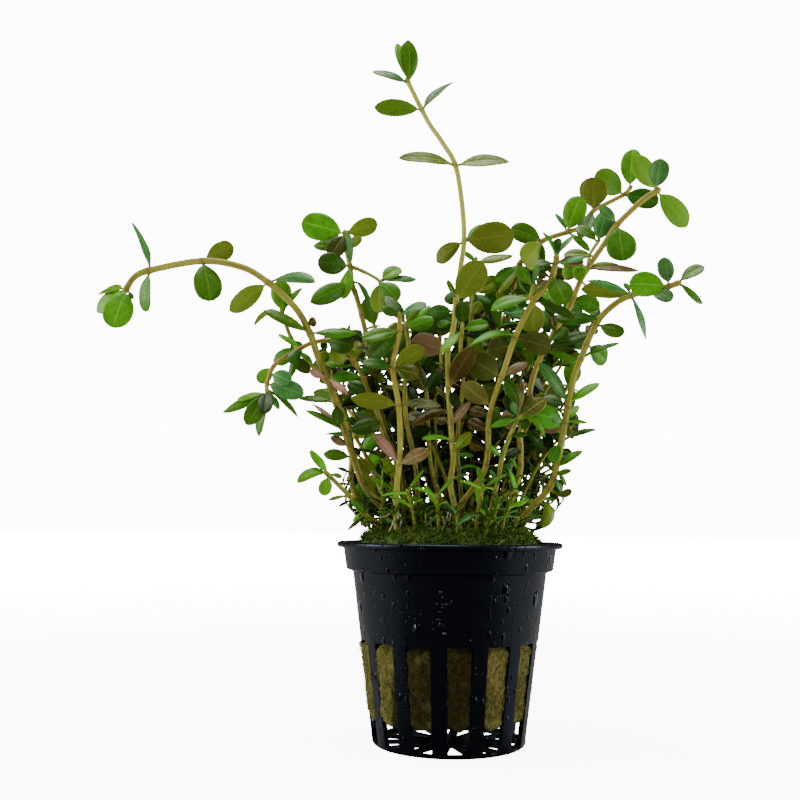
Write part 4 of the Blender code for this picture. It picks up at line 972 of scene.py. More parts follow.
def add_stem(form, route, widths, places, slot, settings, start=None):
    """Round stem through the route's points, thicker at its nodes and rooted below its foot."""
    path = smooth_path(route, STEM_PARTS)
    radii, shades = [], []
    for k in range(len(path)):
        at = k / STEM_PARTS
        up = at / (len(route) - 1)
        foot_width = widths[0] * STEM_SHARE
        width = foot_width + (widths[1] - foot_width) * up ** STEM_TAPER
        step = (route[min(int(at) + 1, len(route) - 1)] - route[min(int(at), len(route) - 2)]).length
        near = min([abs(place - at) * step for place in places] or [9])
        radii.append(width / 2 * (1 + settings.node_swell * math.exp(-(near / 0.8) ** 2)))
        shades.append(math.exp(-(near / 0.38) ** 2))
    first = start or path[0] - Vector((0, 0, 2.6)) - (path[1] - path[0]).normalized() * 0.4
    path = [first] + path
    radii = [radii[0]] + radii
    shades = [0.0] + shades
    tip = path[-1] + (path[-1] - path[-2]).normalized() * 0.5
    path.append(tip)
    radii.append(radii[-1] * 0.4)
    shades.append(0.0)
    sweep(form, path, radii, settings.sides, slot, shades)
    CROWD.add(path)
    for point, radius in zip(path, radii):
        CROWD.hidden.update(view_cell(point + Vector((radius * share, 0, 0)))
                            for share in (-0.8, 0, 0.8))


def shoot_nodes(name, route):
    """Places on a shoot's route where its leaves and side shoots grow."""
    if name in SHOOTS:
        return node_heights([entry[0] for entry in SHOOTS[name]["leaves"]], route)
    if name.startswith("sprig"):
        return pair_places(route, SPRIG_STEP, SPRIG_STEP)
    return pair_places(route, REAR_FIRST, REAR_STEP)


EDGE_ON = (64, 116)      # a blade turned further than this is drawn at this roll, to show its side


def build_shoot(name, route, widths, tints, bark, rng, leaf_rng):
    """One whole shoot over its solid."""
    scene = bpy.context.scene
    form = Form()
    leaves = []
    corners = solid_corners(name)
    for number, choices in enumerate(leaves_to_place(name, route, leaf_rng)):
        leaf = leaf_in_solid(choices, corners)
        if not leaf:
            continue
        if name in SHOOTS:
            roll = SHOOTS[name]["leaves"][number][5]
            if EDGE_ON[0] < roll < EDGE_ON[1]:
                leaf.up = facing(leaf.foot, leaf.tip, EDGE_ON[0] if roll < 90 else EDGE_ON[1])
        leaves.append((leaf, tints[number % len(tints)]))
    for at, x, z, depth, width, roll, tint, *middle in SMALL_LEAVES.get(name, ()):
        foot = on_route(route, at)
        tip = seen(x, z, foot.y + depth)
        bend = seen(*middle, foot.y + depth / 2) if middle else None
        leaves.append((Leaf(foot, tip, facing(foot, tip, roll), width, bend), tint))
    start = None
    if "parent" in SHOOTS.get(name, {}):
        entry = SHOOTS[name]
        start = seen(*entry["route"][0], entry["depth"][0])
    stem_slot = form.slot(stem_material(*bark))
    add_stem(form, route, widths, shoot_nodes(name, route), stem_slot, scene.rotala_stem, start)
    for leaf, tint in leaves:
        add_blade(form, leaf, widths[1] / 2, rng, form.slot(leaf_material(tint)), scene.rotala_leaf)
    slots = {row["node"]: row["material_slot"] for row in frame["record"]["subparts"]}
    return form.build(f"{name}_foliage", replaces=(name,), slot=slots[name])


# Growth that only the looks have: inner shoots, side shoots, inner leaves and undergrowth

def shaded_inner_tint(tip, rng):
    """Tint of an inner leaf: dark low down, brown in the middle, greener at the sides and on top. Its dark
    tints are painted shade of the bunch's deep inside, laid over the leaves' own greens and browns.
    """
    if tip.z < 64:
        return rng.choice("bgdvgdv")
    if tip.z > 92:
        return rng.choice("gdodvdtk")
    # the middle gets the darkest tints, painted shade deep inside the bunch
    if abs(tip.x) < 12:
        return rng.choice("vdkzvdvkgv")
    return rng.choice("dvgdvokd")


def low_tint(tip, rng):
    return rng.choice("dgdvdt")


def curved_path(foot, heading, length, parts, rise):
    """Path from a foot along a heading that turns upwards."""
    points = [foot]
    for _ in range(parts):
        points.append(points[-1] + heading * (length / parts))
        heading = (heading + Vector((0, 0, rise))).normalized()
    return points


def add_grown_shoot(form, path, radius, first, step, leaf, rng, bark, tints, detail=SMALL_BLADE,
                    gap=0.8, front=-99.0, need=0):
    """Thin stem along a path with opposite pairs of leaves wherever there is room.

    leaf is (shortest, longest, width to length, rise in degrees), and tints is called with a tip.
    No leaf comes nearer to the viewer than front. Returns how many leaves it has: nothing is made
    without room for two, or if they would hide fewer than need new cells of the front view.
    """
    settings = bpy.context.scene.rotala_leaf
    turn = rng.uniform(0, 180)
    placed = []
    hidden = set()
    places = pair_places(path, first, step)
    for number, place in enumerate(places):
        foot = on_route(path, place)
        along = along_at(path, place)
        shrink = 1 - 0.45 * max(0, number / max(1, len(places) - 1) - 0.5) * 2
        for side in (0, 180):
            length = max(2.6, rng.uniform(leaf[0], leaf[1]) * shrink)
            tilt = math.radians(leaf[3] + rng.uniform(-RISE_SPREAD, RISE_SPREAD) + 18 * (1 - shrink))
            for choice in grown_leaf_choices(foot, along, turn + side, length, length * leaf[2], tilt):
                if choice.tip.y < front or not CROWD.may_hold(choice, gap):
                    continue
                if any((mine - other).length < gap for mine in choice.spots()
                       for earlier in placed for other in earlier.spots()):
                    continue
                placed.append(choice)
                hidden |= choice.hides()
                last = place
                break
        turn += 90 + rng.uniform(-TURN_SPREAD, TURN_SPREAD)
    if len(placed) < 2 or len((hidden & DENSE_CELLS) - CROWD.hidden) < need:
        return 0
    path = path[:int(last) + 1] + [on_route(path, last)]
    radii = [radius * (1 - 0.35 * k / (len(path) - 1)) for k in range(len(path))]
    sweep(form, path, radii, 6, form.slot(stem_material(*bark)), vary=rng.random())
    CROWD.add(path)
    CROWD.stems += path[2:]
    for choice in placed:
        add_blade(form, choice, radius, rng, form.slot(leaf_material(tints(choice.tip, rng))),
                  settings, detail)
    return len(placed)


# Leaves of each kind of growth: shortest, longest, width to length, rise in degrees
INNER_LEAF = (5.0, 9.0, 0.58, 28)
SIDE_LEAF = (3.6, 6.2, 0.56, 30)
LOW_LEAF = (3.4, 6.4, 0.29, 30)
# Rounds of inner growth: new cells of the front view that a shoot has to hide, and how far back
INNER_ROUNDS = ((35, 16), (17, 16), (7, 18), (3, 20))
INNER_BARKS = (("tan", "green"), ("green", "tan"), ("brown", "green"))
INNER_FOOT_Z = 49.4      # the feet stand in the moss
LOW_FOOT_Z = 49.6
LOW_SHORTEST = 5         # lengths of the low shoots, and the greatest where the moss shows in front
LOW_LONGEST = 17
LOW_IN_FRONT = 7
INNER_BACK = 37.5        # no inner leaf's tip is further back, so the growth stays in the solids' box
INNER_FRONT = -6.0       # inner growth keeps behind this depth, so the front shoots stand clear


def open_cells(rng):
    """Cells of the dense part that nothing hides yet, in random order."""
    gaps = sorted(DENSE_CELLS - LIGHT_CELLS - CROWD.hidden)
    rng.shuffle(gaps)
    return gaps


def behind_cell(cell, depth):
    """Point at a depth that is seen in the middle of a cell."""
    return seen((cell[0] + 0.5) * VIEW_CELL, (cell[1] + 0.5) * VIEW_CELL, depth)


def grow_inner_shoots(form, rng, wanted):
    """Thin shoots from the moss towards the places that no leaf hides yet."""
    grown = 0
    for need, deep in INNER_ROUNDS:
        for cell in open_cells(rng):
            if grown >= wanted:
                return
            if cell in CROWD.hidden:
                continue
            for _ in range(5):
                goal = behind_cell(cell, rng.uniform(-3, deep))
                angle = math.atan2(goal.y * 0.8 + rng.gauss(2, 5), goal.x * 0.6 + rng.gauss(0, 6))
                reach = rng.uniform(2, 16)
                foot = Vector((reach * math.cos(angle), max(-3.0, reach * math.sin(angle)), INNER_FOOT_Z))
                middle = foot.lerp(goal, 0.5) + Vector(((foot.x - goal.x) * 0.22, 0, 4))
                path = [foot * (1 - k) * (1 - k) + middle * 2 * k * (1 - k) + goal * k * k
                        for k in (n / 22 for n in range(23))]
                if not CROWD.has_room(path[1:], 0.75):
                    continue
                length = sum((b - a).length for a, b in zip(path, path[1:]))
                if add_grown_shoot(form, path, rng.uniform(0.38, 0.55), length * rng.uniform(0.2, 0.5),
                                   rng.uniform(4.6, 6.5), INNER_LEAF, rng,
                                   rng.choice(INNER_BARKS), shaded_inner_tint, gap=0.5, front=INNER_FRONT,
                                   need=need):
                    grown += 1
                    break


def fill_gaps(form, rng, share):
    """Single leaves on the inner stems where the bunch can still be seen through."""
    gaps = open_cells(rng)
    for cell in gaps[:round(len(gaps) * share)]:
        if cell in CROWD.hidden:
            continue
        goal = behind_cell(cell, 0)
        near = [foot for foot in CROWD.stems if foot.y > INNER_FRONT
                and (seen(goal.x, goal.z, foot.y) - foot).length < 6.5]
        for foot in rng.sample(near, min(len(near), 14)):
            middle = seen(goal.x, goal.z, max(INNER_FRONT, foot.y + rng.uniform(-3, 3)))
            reach = max(3.2, (middle - foot).length * rng.uniform(1.3, 1.7))
            tip = foot + (middle - foot).normalized() * reach
            width = min(5.0, reach * rng.uniform(0.5, 0.66))
            leaf = Leaf(foot, tip, facing(foot, tip, rng.uniform(-40, 40)), width)
            if CROWD.may_hold(leaf, 0.42):
                add_blade(form, leaf, 0.3, rng, form.slot(leaf_material(shaded_inner_tint(tip, rng))),
                          bpy.context.scene.rotala_leaf, SMALL_BLADE)
                break


def grow_side_shoots(form, rng, share):
    """Short shoots in the axils of the shoots of the bunch's rear half."""
    for name, (route, _) in all_routes().items():
        if name.startswith("sprig"):
            continue
        for place in shoot_nodes(name, route):
            foot = on_route(route, place)
            if rng.random() > share or foot.y < 1 or view_cell(foot) not in DENSE_CELLS:
                continue
            along = along_at(route, place)
            turn = rng.uniform(0, 360)
            for side in (0, 180):
                heading = (outwards(along, turn + side) + along * rng.uniform(0.5, 1.2)).normalized()
                path = curved_path(foot, heading, rng.uniform(4, 11), 5, 0.14)
                if not CROWD.has_room(path[2:], 0.9):
                    continue
                add_grown_shoot(form, path, 0.38, 2.6, rng.uniform(2.8, 3.8), SIDE_LEAF, rng,
                                ("green", "tan"), shaded_inner_tint, front=INNER_FRONT)


def grow_undergrowth(form, rng, wanted):
    """Low shoots with narrow leaves, with their feet in the moss."""
    grown = 0
    for _ in range(wanted * 8):
        if grown == wanted:
            return
        angle = rng.uniform(0, 2 * math.pi)
        reach = 20.0 * math.sqrt(rng.uniform(0.02, 1))
        foot = Vector((reach * math.cos(angle), reach * math.sin(angle), LOW_FOOT_Z))
        if foot.y < -2 and foot.x > 16:
            continue
        in_front = foot.y < -2 and -14 < foot.x < 7
        if in_front and rng.random() < 0.6:
            continue
        heading = Vector((rng.gauss(0, 0.45), rng.gauss(0, 0.45), 1))
        heading += Vector((math.cos(angle), math.sin(angle), 0)) * 0.02 * reach
        length = rng.uniform(LOW_SHORTEST, LOW_IN_FRONT if in_front else LOW_LONGEST)
        path = curved_path(foot, heading.normalized(), length, 6, 0.1)
        if not CROWD.has_room(path, 0.9) or any(view_cell(point) in LIGHT_CELLS for point in path):
            continue
        if add_grown_shoot(form, path, 0.3, 2.8, rng.uniform(2.2, 3.2), LOW_LEAF, rng,
                           ("green", "green"), low_tint, NARROW_BLADE, 0.55):
            grown += 1


# Materials

class Nodes:
    """Adds nodes to a tree. A source is another node's output or a plain value."""

    def __init__(self, tree):
        self.tree = tree

    def put(self, kind, **settings):
        """New node, laid out in rows in the order of making."""
        number = len(self.tree.nodes)
        node = self.tree.nodes.new(kind)
        node.location = (number % 8 * 200, number // 8 * -300)
        for key, value in settings.items():
            setattr(node, key, value)
        return node

    def feed(self, source, socket):
        """Join an output, or set a plain value, to an input."""
        if isinstance(source, bpy.types.NodeSocket):
            self.tree.links.new(source, socket)
        else:
            color = socket.type == "RGBA" and len(source) == 3
            socket.default_value = (*source, 1) if color else source

    def fill(self, node, *sources):
        """Feed a node's inputs in their order, and give its first output."""
        for source, socket in zip(sources, node.inputs):
            self.feed(source, socket)
        return node.outputs[0]

    def join(self, node, **sources):
        """Feed a node's inputs by their names, with _ for a space, and give its outputs."""
        for label, source in sources.items():
            self.feed(source, node.inputs[label.replace("_", " ")])
        return node.outputs

    def shade(self, **sources):
        """Feed the material's own shader."""
        self.join(self.tree.nodes["Principled BSDF"], **sources)

    def calc(self, operation, first, second=0.0, third=0.0, clamp=False):
        node = self.put("ShaderNodeMath", operation=operation, use_clamp=clamp)
        return self.fill(node, first, second, third)

    def ramp(self, value, low, high, start=0.0, end=1.0):
        """Smooth step of a value from low to high."""
        node = self.put("ShaderNodeMapRange", interpolation_type="SMOOTHSTEP")
        return self.fill(node, value, low, high, start, end)

    def mix(self, share, first, second):
        node = self.put("ShaderNodeMix", data_type="RGBA")
        for source, number in ((share, 0), (first, 6), (second, 7)):
            self.feed(source, node.inputs[number])
        return node.outputs[2]

    def layers(self, color, *layers):
        """The colour with others laid over it, each stated as its share and its colour."""
        for share, layer in layers:
            color = self.mix(share, color, layer)
        return color

    def mark(self, name):
        return self.put("ShaderNodeAttribute", attribute_name=name).outputs["Fac"]

    def place(self):
        """Position on the object."""
        return self.put("ShaderNodeTexCoord").outputs["Object"]

    def part(self, axis):
        """One part of the position on the object."""
        return self.join(self.put("ShaderNodeSeparateXYZ"), Vector=self.place())[axis]

    def stretched(self, upright):
        """Position on the object with its height scaled, so that what uses it runs up and down."""
        return self.join(self.put("ShaderNodeMapping"), Scale=(1, 1, upright), Vector=self.place())[0]

    def noise(self, scale, detail=3.0, roughness=0.55, vector=None):
        return self.join(self.put("ShaderNodeTexNoise"), Scale=scale, Detail=detail,
                         Roughness=roughness, Vector=vector or self.place())[0]

    def bump(self, height, distance, strength):
        return self.join(self.put("ShaderNodeBump"), Height=height, Distance=distance,
                         Strength=strength)[0]

    def group(self, tree, **sources):
        return self.join(self.put("ShaderNodeGroup", node_tree=tree), **sources)


def new_group(name, inputs, outputs):
    """Nodes of an empty shader node group, what it is given and what it makes."""
    nodes = Nodes(bpy.data.node_groups.new(name, "ShaderNodeTree"))
    for labels, way in ((inputs, "INPUT"), (outputs, "OUTPUT")):
        for label in labels:
            nodes.tree.interface.new_socket(label, in_out=way, socket_type="NodeSocketFloat")
    return nodes, nodes.put("NodeGroupInput").outputs, nodes.put("NodeGroupOutput").inputs


def leaf_veins():
    """Masks of a blade's midrib, side veins and rim from its along and across marks."""
    name = "Leaf Veins"
    if name in bpy.data.node_groups:
        return bpy.data.node_groups[name]
    nodes, given, made = new_group(name, ("Along", "Across", "Vein Count"),
                                   ("Midrib", "Veins", "Rim"))
    side = nodes.calc("ABSOLUTE", given["Across"])
    along = nodes.calc("SUBTRACT", given["Along"], nodes.calc("MULTIPLY", side, 0.16))
    bands = nodes.calc("FRACT", nodes.calc("MULTIPLY", along, given["Vein Count"]))
    off = nodes.calc("ABSOLUTE", nodes.calc("SUBTRACT", bands, 0.5))
    line = nodes.ramp(off, 0.12, 0.0)
    inside = nodes.ramp(side, 0.85, 0.3)
    wide = nodes.calc("MULTIPLY_ADD", given["Along"], -0.07, 0.12)
    nodes.feed(nodes.calc("MULTIPLY", line, inside), made["Veins"])
    nodes.feed(nodes.ramp(side, wide, nodes.calc("MULTIPLY", wide, 0.3)), made["Midrib"])
    nodes.feed(nodes.ramp(side, 0.78, 1.0), made["Rim"])
    return nodes.tree


def mottling():
    """Soft patches and fine grain in object space, each from 0 to 1."""
    name = "Mottling"
    if name in bpy.data.node_groups:
        return bpy.data.node_groups[name]
    nodes, given, made = new_group(name, ("Patch Scale", "Grain Scale"), ("Patches", "Grain"))
    for scale, output in (("Patch Scale", "Patches"), ("Grain Scale", "Grain")):
        nodes.feed(nodes.ramp(nodes.noise(given[scale], 3, 0.5), 0.3, 0.7), made[output])
    return nodes.tree


def new_material(name):
    """Material and its nodes."""
    material = bpy.data.materials.new(name)
    material.use_nodes = True
    nodes = Nodes(material.node_tree)
    nodes.tree.nodes["Principled BSDF"].location = (1700, 0)
    nodes.tree.nodes["Material Output"].location = (2000, 0)
    return material, nodes


# Tints by the letter that the tables use: name, upper side, underside, veins, and how rusty.
TINTS = {
    "g": ("Leaf Mid Green", (0.052, 0.190, 0.003), (0.10, 0.19, 0.006), (0.12, 0.29, 0.02), 0.0),
    "b": ("Leaf Bright Green", (0.095, 0.310, 0.003), (0.14, 0.31, 0.006), (0.20, 0.45, 0.03), 0.0),
    "d": ("Leaf Dark Green", (0.022, 0.092, 0.002), (0.05, 0.11, 0.004), (0.05, 0.16, 0.015), 0.1),
    # v is partly a leaf's own deep green and partly painted shade of leaves deep inside the bunch
    "v": ("Leaf Shaded Deep Green", (0.006, 0.026, 0.001), (0.014, 0.036, 0.001), (0.02, 0.06, 0.005), 0.1),
    "t": ("Leaf Teal Green", (0.052, 0.190, 0.034), (0.08, 0.19, 0.03), (0.12, 0.31, 0.08), 0.0),
    "o": ("Leaf Olive", (0.100, 0.175, 0.003), (0.17, 0.235, 0.012), (0.26, 0.33, 0.04), 0.25),
    "m": ("Leaf Khaki", (0.082, 0.078, 0.010), (0.095, 0.082, 0.012), (0.34, 0.34, 0.06), 0.2),
    "k": ("Leaf Dark Olive", (0.037, 0.050, 0.001), (0.050, 0.056, 0.002), (0.15, 0.16, 0.02), 0.25),
    "z": ("Leaf Bronze", (0.048, 0.032, 0.002), (0.056, 0.034, 0.003), (0.26, 0.19, 0.05), 0.3),
    "p": ("Leaf Pink Brown", (0.190, 0.125, 0.045), (0.21, 0.115, 0.05), (0.40, 0.30, 0.12), 0.3),
    "r": ("Leaf Rose", (0.36, 0.19, 0.13), (0.33, 0.15, 0.10), (0.70, 0.42, 0.34), 0.35),
}


def leaf_material(tint):
    name, top, under, vein, warm = TINTS[tint]
    if name in bpy.data.materials:
        return bpy.data.materials[name]
    material, nodes = new_material(name)
    along, across, vary, below = [nodes.mark(mark) for mark in ("along", "across", "vary", "shade")]
    veins = nodes.group(leaf_veins(), Along=along, Across=across, Vein_Count=6.5)
    spots = nodes.group(mottling(), Patch_Scale=420.0, Grain_Scale=3800.0)
    rusty = nodes.calc("MULTIPLY_ADD", spots["Patches"], 0.5, nodes.ramp(along, 0.45, 1.0, 0.15, 0.75))
    color = nodes.layers(
        top,
        (nodes.calc("MULTIPLY", spots["Patches"], 0.75), tuple(part * 0.6 for part in top)),
        (nodes.ramp(rusty, 0.45, 1.2, 0.0, warm * 1.6), (0.12, 0.045, 0.008)),
        (nodes.calc("MULTIPLY", veins["Veins"], 0.3), vein),
        (nodes.calc("MULTIPLY", veins["Midrib"], 0.8), vein),
        (nodes.calc("MULTIPLY", below, 0.7), under),
        (nodes.ramp(along, 0.3, 0.05, 0.0, 0.6), vein),
        (nodes.calc("MULTIPLY", veins["Rim"], 0.25), (0.36, 0.15, 0.10) if warm > 0.3 else vein))
    shifted = nodes.join(nodes.put("ShaderNodeHueSaturation"), Color=color,
                         Hue=nodes.calc("MULTIPLY_ADD", vary, 0.03, 0.485),
                         Value=nodes.calc("MULTIPLY_ADD", vary, 0.5, 0.75))[0]
    rough = nodes.calc("MULTIPLY_ADD", spots["Grain"], 0.12,
                       bpy.context.scene.rotala_leaf.roughness - 0.06)
    height = nodes.calc("MULTIPLY_ADD", veins["Veins"], -0.5, spots["Grain"])
    height = nodes.calc("MULTIPLY_ADD", spots["Patches"], 1.2, height)
    nodes.shade(Base_Color=shifted, Roughness=nodes.calc("MULTIPLY_ADD", below, 0.14, rough),
                Normal=nodes.bump(height, 0.00006, 0.5), Subsurface_Weight=0.12,
                Subsurface_Radius=(0.5, 0.9, 0.15), Subsurface_Scale=0.0006,
                Specular_IOR_Level=0.3, Specular_Tint=(0.85, 1.0, 0.6))
    return material


# Colours of the stems. The darkest, a near-black olive at the feet of stems inside the bunch, is painted
# shade over the stems' own dark olive.
BARKS = {
    "tan": (0.205, 0.19, 0.018), "green": (0.11, 0.155, 0.007), "pale": (0.40, 0.43, 0.055),
    "orange": (0.25, 0.175, 0.016), "brown": (0.09, 0.075, 0.005), "shaded_olive": (0.045, 0.045, 0.003),
}
NODE_BROWN = (0.16, 0.08, 0.018)


def stem_material(foot, tip):
    name = f"Stem {foot.title()} to {tip.title()}"
    if name in bpy.data.materials:
        return bpy.data.materials[name]
    material, nodes = new_material(name)
    along, across, vary, at_node = [nodes.mark(mark) for mark in ("along", "across", "vary", "shade")]
    spots = nodes.group(mottling(), Patch_Scale=260.0, Grain_Scale=2600.0)
    height = nodes.calc("ADD", along, nodes.calc("MULTIPLY_ADD", spots["Patches"], 0.3, -0.15))
    grain_of_bark = nodes.fill(
        nodes.put("ShaderNodeCombineXYZ"), nodes.calc("MULTIPLY", across, 2.6),
        nodes.calc("MULTIPLY", along, 9.0), nodes.calc("MULTIPLY", vary, 30.0))
    streaks = nodes.ramp(nodes.noise(1.0, 3, 0.6, grain_of_bark), 0.38, 0.66)
    color = nodes.layers(
        BARKS[foot],
        (nodes.ramp(height, 0.1, 0.75), BARKS[tip]),
        (nodes.calc("MULTIPLY", streaks, 0.5), (0.52, 0.50, 0.075)),
        (nodes.calc("MULTIPLY", at_node, 0.6), NODE_BROWN))
    nodes.shade(Base_Color=color, Roughness=0.42, Normal=nodes.bump(spots["Grain"], 0.00008, 0.5),
                Subsurface_Weight=0.15, Subsurface_Radius=(0.9, 0.8, 0.3), Subsurface_Scale=0.0007,
                Specular_IOR_Level=0.3, Specular_Tint=(1.0, 0.97, 0.75))
    return material


def plastic_material():
    """Black plastic with a satin sheen, beaded with wet in its bump and roughness."""
    settings = bpy.context.scene.rotala_pot
    material, nodes = new_material("Wet Black Plastic")
    flow = nodes.stretched(0.66)
    heights = []
    for share, bare in ((1, 0.5), (0.45, 0.42), (0.2, 0.45)):
        spacing = settings.bead_size * share
        cells = nodes.join(nodes.put("ShaderNodeTexVoronoi"), Scale=1 / spacing, Vector=flow)
        chance = nodes.fill(nodes.put("ShaderNodeSeparateColor"), cells["Color"])
        size = nodes.ramp(chance, bare, 1.0, 0.0, 0.46)
        near = nodes.calc("SUBTRACT", size, cells["Distance"])
        dome = nodes.calc("POWER", nodes.ramp(near, 0.0, 0.3), 0.6)
        heights.append(nodes.calc("MULTIPLY", dome, spacing * 300))
    wet = nodes.calc("MAXIMUM", nodes.calc("MAXIMUM", *heights[:2]), heights[2])
    at_sides = nodes.ramp(nodes.calc("ABSOLUTE", nodes.part("X")), 0.007, 0.013)
    beaded = nodes.calc("MAXIMUM", at_sides, nodes.ramp(nodes.noise(130, 2), 0.56, 0.6))
    wet = nodes.calc("MULTIPLY", wet, beaded)
    grain = nodes.noise(900, 4)
    rough = nodes.calc("MULTIPLY_ADD", grain, 0.2, 0.24)
    dust = nodes.ramp(nodes.noise(160, 5), 0.45, 0.75, 0.0, 0.35)
    nodes.shade(Base_Color=nodes.mix(dust, tuple(settings.color), (0.003, 0.0035, 0.005)),
                Roughness=nodes.calc("MULTIPLY_ADD", nodes.ramp(wet, 0.0, 0.1), -0.24, rough,
                                     clamp=True),
                Normal=nodes.bump(nodes.calc("MULTIPLY_ADD", grain, 0.03, wet), 0.0011, 1.0),
                Specular_IOR_Level=0.34, Specular_Tint=(0.55, 0.74, 1.0))
    return material


def wool_material(name, brighter):
    settings = bpy.context.scene.rotala_wool
    material, nodes = new_material(name)
    strands = nodes.noise(1500, 6, 0.7, nodes.stretched(0.35))
    # Brown in random patches, with more brown in a band about 15 mm wide round x = -3 mm through the plug,
    # and less beyond it
    aside = nodes.calc("ABSOLUTE", nodes.calc("ADD", nodes.part("X"), 0.003))
    brown_share = nodes.calc("ADD", nodes.noise(95, 4, 0.6),
                        nodes.ramp(aside, 0.0075, 0.0112, 0.26, -0.12))
    olive = tuple(part * brighter for part in settings.olive)
    color = nodes.layers(
        tuple(part * 0.45 for part in olive),
        (nodes.ramp(strands, 0.35, 0.7), olive),
        (nodes.ramp(brown_share, 0.5, 0.68, 0.0, 0.85), tuple(settings.brown)))
    nodes.shade(Base_Color=color, Roughness=0.95, Specular_IOR_Level=0.12,
                Normal=nodes.bump(strands, 0.0006, 0.8))
    return material


def moss_material():
    settings = bpy.context.scene.rotala_moss
    material, nodes = new_material("Moss")
    height = nodes.calc("MULTIPLY", nodes.mark("along"), 0.6)
    share = nodes.calc("MULTIPLY_ADD", nodes.mark("vary"), 0.5, height, clamp=True)
    patches = nodes.ramp(nodes.noise(210, 4, 0.6), 0.5, 0.66, 0.0, 0.6)
    color = nodes.layers(tuple(settings.dark), (share, tuple(settings.light)),
                         (patches, (0.16, 0.165, 0.014)))
    nodes.shade(Base_Color=color, Roughness=0.75, Specular_IOR_Level=0.35,
                Normal=nodes.bump(nodes.noise(2600, 4), 0.0003, 0.7))
    return material


def root_material():
    material, nodes = new_material("Water Root")
    color = nodes.mix(nodes.noise(900), (0.62, 0.60, 0.42), (0.80, 0.79, 0.66))
    nodes.shade(Base_Color=color, Roughness=0.4, Subsurface_Weight=0.2, Subsurface_Scale=0.0004)
    return material


def floor_material():
    """Pale floor that glows for the camera, and in reflections except in front of the pot."""
    material, nodes = new_material("Pale Floor")
    ray = nodes.put("ShaderNodeLightPath").outputs
    pale = nodes.mix(nodes.noise(3.0, 2), (0.84, 0.84, 0.84), (0.86, 0.86, 0.86))
    far = nodes.join(nodes.put("ShaderNodeVectorMath", operation="LENGTH"),
                     Vector=nodes.place())["Value"]
    ahead = nodes.calc("DIVIDE", nodes.calc("MULTIPLY", nodes.part("Y"), -1.0), far)
    sheen = nodes.ramp(ahead, 0.66, 0.3, 0.0, 0.4)
    glow = nodes.calc("MULTIPLY", nodes.ramp(far, 0.1, 0.7, 9.0, 16.0), ray["Is Camera Ray"])
    nodes.shade(Base_Color=nodes.mix(ray["Is Glossy Ray"], pale, (0.04, 0.04, 0.04)),
                Roughness=0.85, Specular_IOR_Level=0.2, Emission_Color=(1, 1, 1),
                Emission_Strength=nodes.calc("MULTIPLY_ADD", sheen, ray["Is Glossy Ray"], glow))
    return material


# Pot, wool and moss

def fillet(before, corner, after, radius, parts):
    """Points of a rounded corner in a profile."""
    into = (Vector(before) - Vector(corner)).normalized()
    out = (Vector(after) - Vector(corner)).normalized()
    half = into.angle(out) / 2
    reach = radius / math.tan(half)
    start = Vector(corner) + into * reach
    end = Vector(corner) + out * reach
    centre = Vector(corner) + (into + out).normalized() * radius / math.sin(half)
    result = []
    for k in range(parts + 1):
        point = start.lerp(end, k / parts) - centre
        result.append(tuple(centre + point.normalized() * radius))
    return result


def wall_radius(z):
    return BASE_R + (BODY_TOP_R - BASE_R) * z / BODY_TOP_Z


# The pot's section from the middle of the floor inside, over the lip, to the middle of its foot:
# radius, height, rounding.
POT_SECTION = [
    (0, 0.7, 0), (17.1, 0.7, 0.5), (17.6, 3.0, 0.4), (22.5, 41.3, 0.4), (24.1, 42.5, 0.4),
    (24.8, 48.0, 0.35), (27.5, 48.0, 0.5), (27.5, 46.8, 0.5), (25.95, 46.5, 0.3),
    (25.2, 41.5, 0.35), (23.6, 40.9, 0.35), (18.4, 0.4, 0.9), (17.6, 0.0, 0.4), (0, 0, 0),
]


def pot_profile():
    points = []
    for k, (radius, z, rounding) in enumerate(POT_SECTION):
        if rounding == 0:
            points.append((radius, z))
            continue
        before = POT_SECTION[k - 1][:2]
        after = POT_SECTION[k + 1][:2]
        points += fillet(before, (radius, z), after, rounding, 4)
    return points


def slot_prism(bm, middle, rib, r_in, r_out, z_low, z_high):
    """Upright prism between two ribs, with sides that keep half a rib from each rib's middle."""
    corners = []
    for radius in (r_in, r_out):
        swing = math.pi / RIBS - math.asin(rib / 2 / radius)
        for angle in (middle - swing, middle + swing):
            corners.append((radius * math.sin(angle), -radius * math.cos(angle)))
    inner_left, inner_right, outer_left, outer_right = corners
    outline = [inner_left, outer_left, outer_right, inner_right]
    low, high = [[bm.verts.new((x * MM, y * MM, z * MM)) for x, y in outline]
                 for z in (z_low, z_high)]
    bm.faces.new(low)
    bm.faces.new(high)
    for k in range(4):
        after = (k + 1) % 4
        bm.faces.new((low[after], low[k], high[k], high[after]))


def mesh_of(bm, name):
    mesh = bpy.data.meshes.new(name)
    bm.to_mesh(mesh)
    bm.free()
    return mesh


def finished_mesh(obj):
    """The object's mesh with its modifiers applied, after which the object is removed."""
    depsgraph = bpy.context.evaluated_depsgraph_get()
    mesh = bpy.data.meshes.new_from_object(obj.evaluated_get(depsgraph))
    bpy.data.objects.remove(obj)
    return mesh


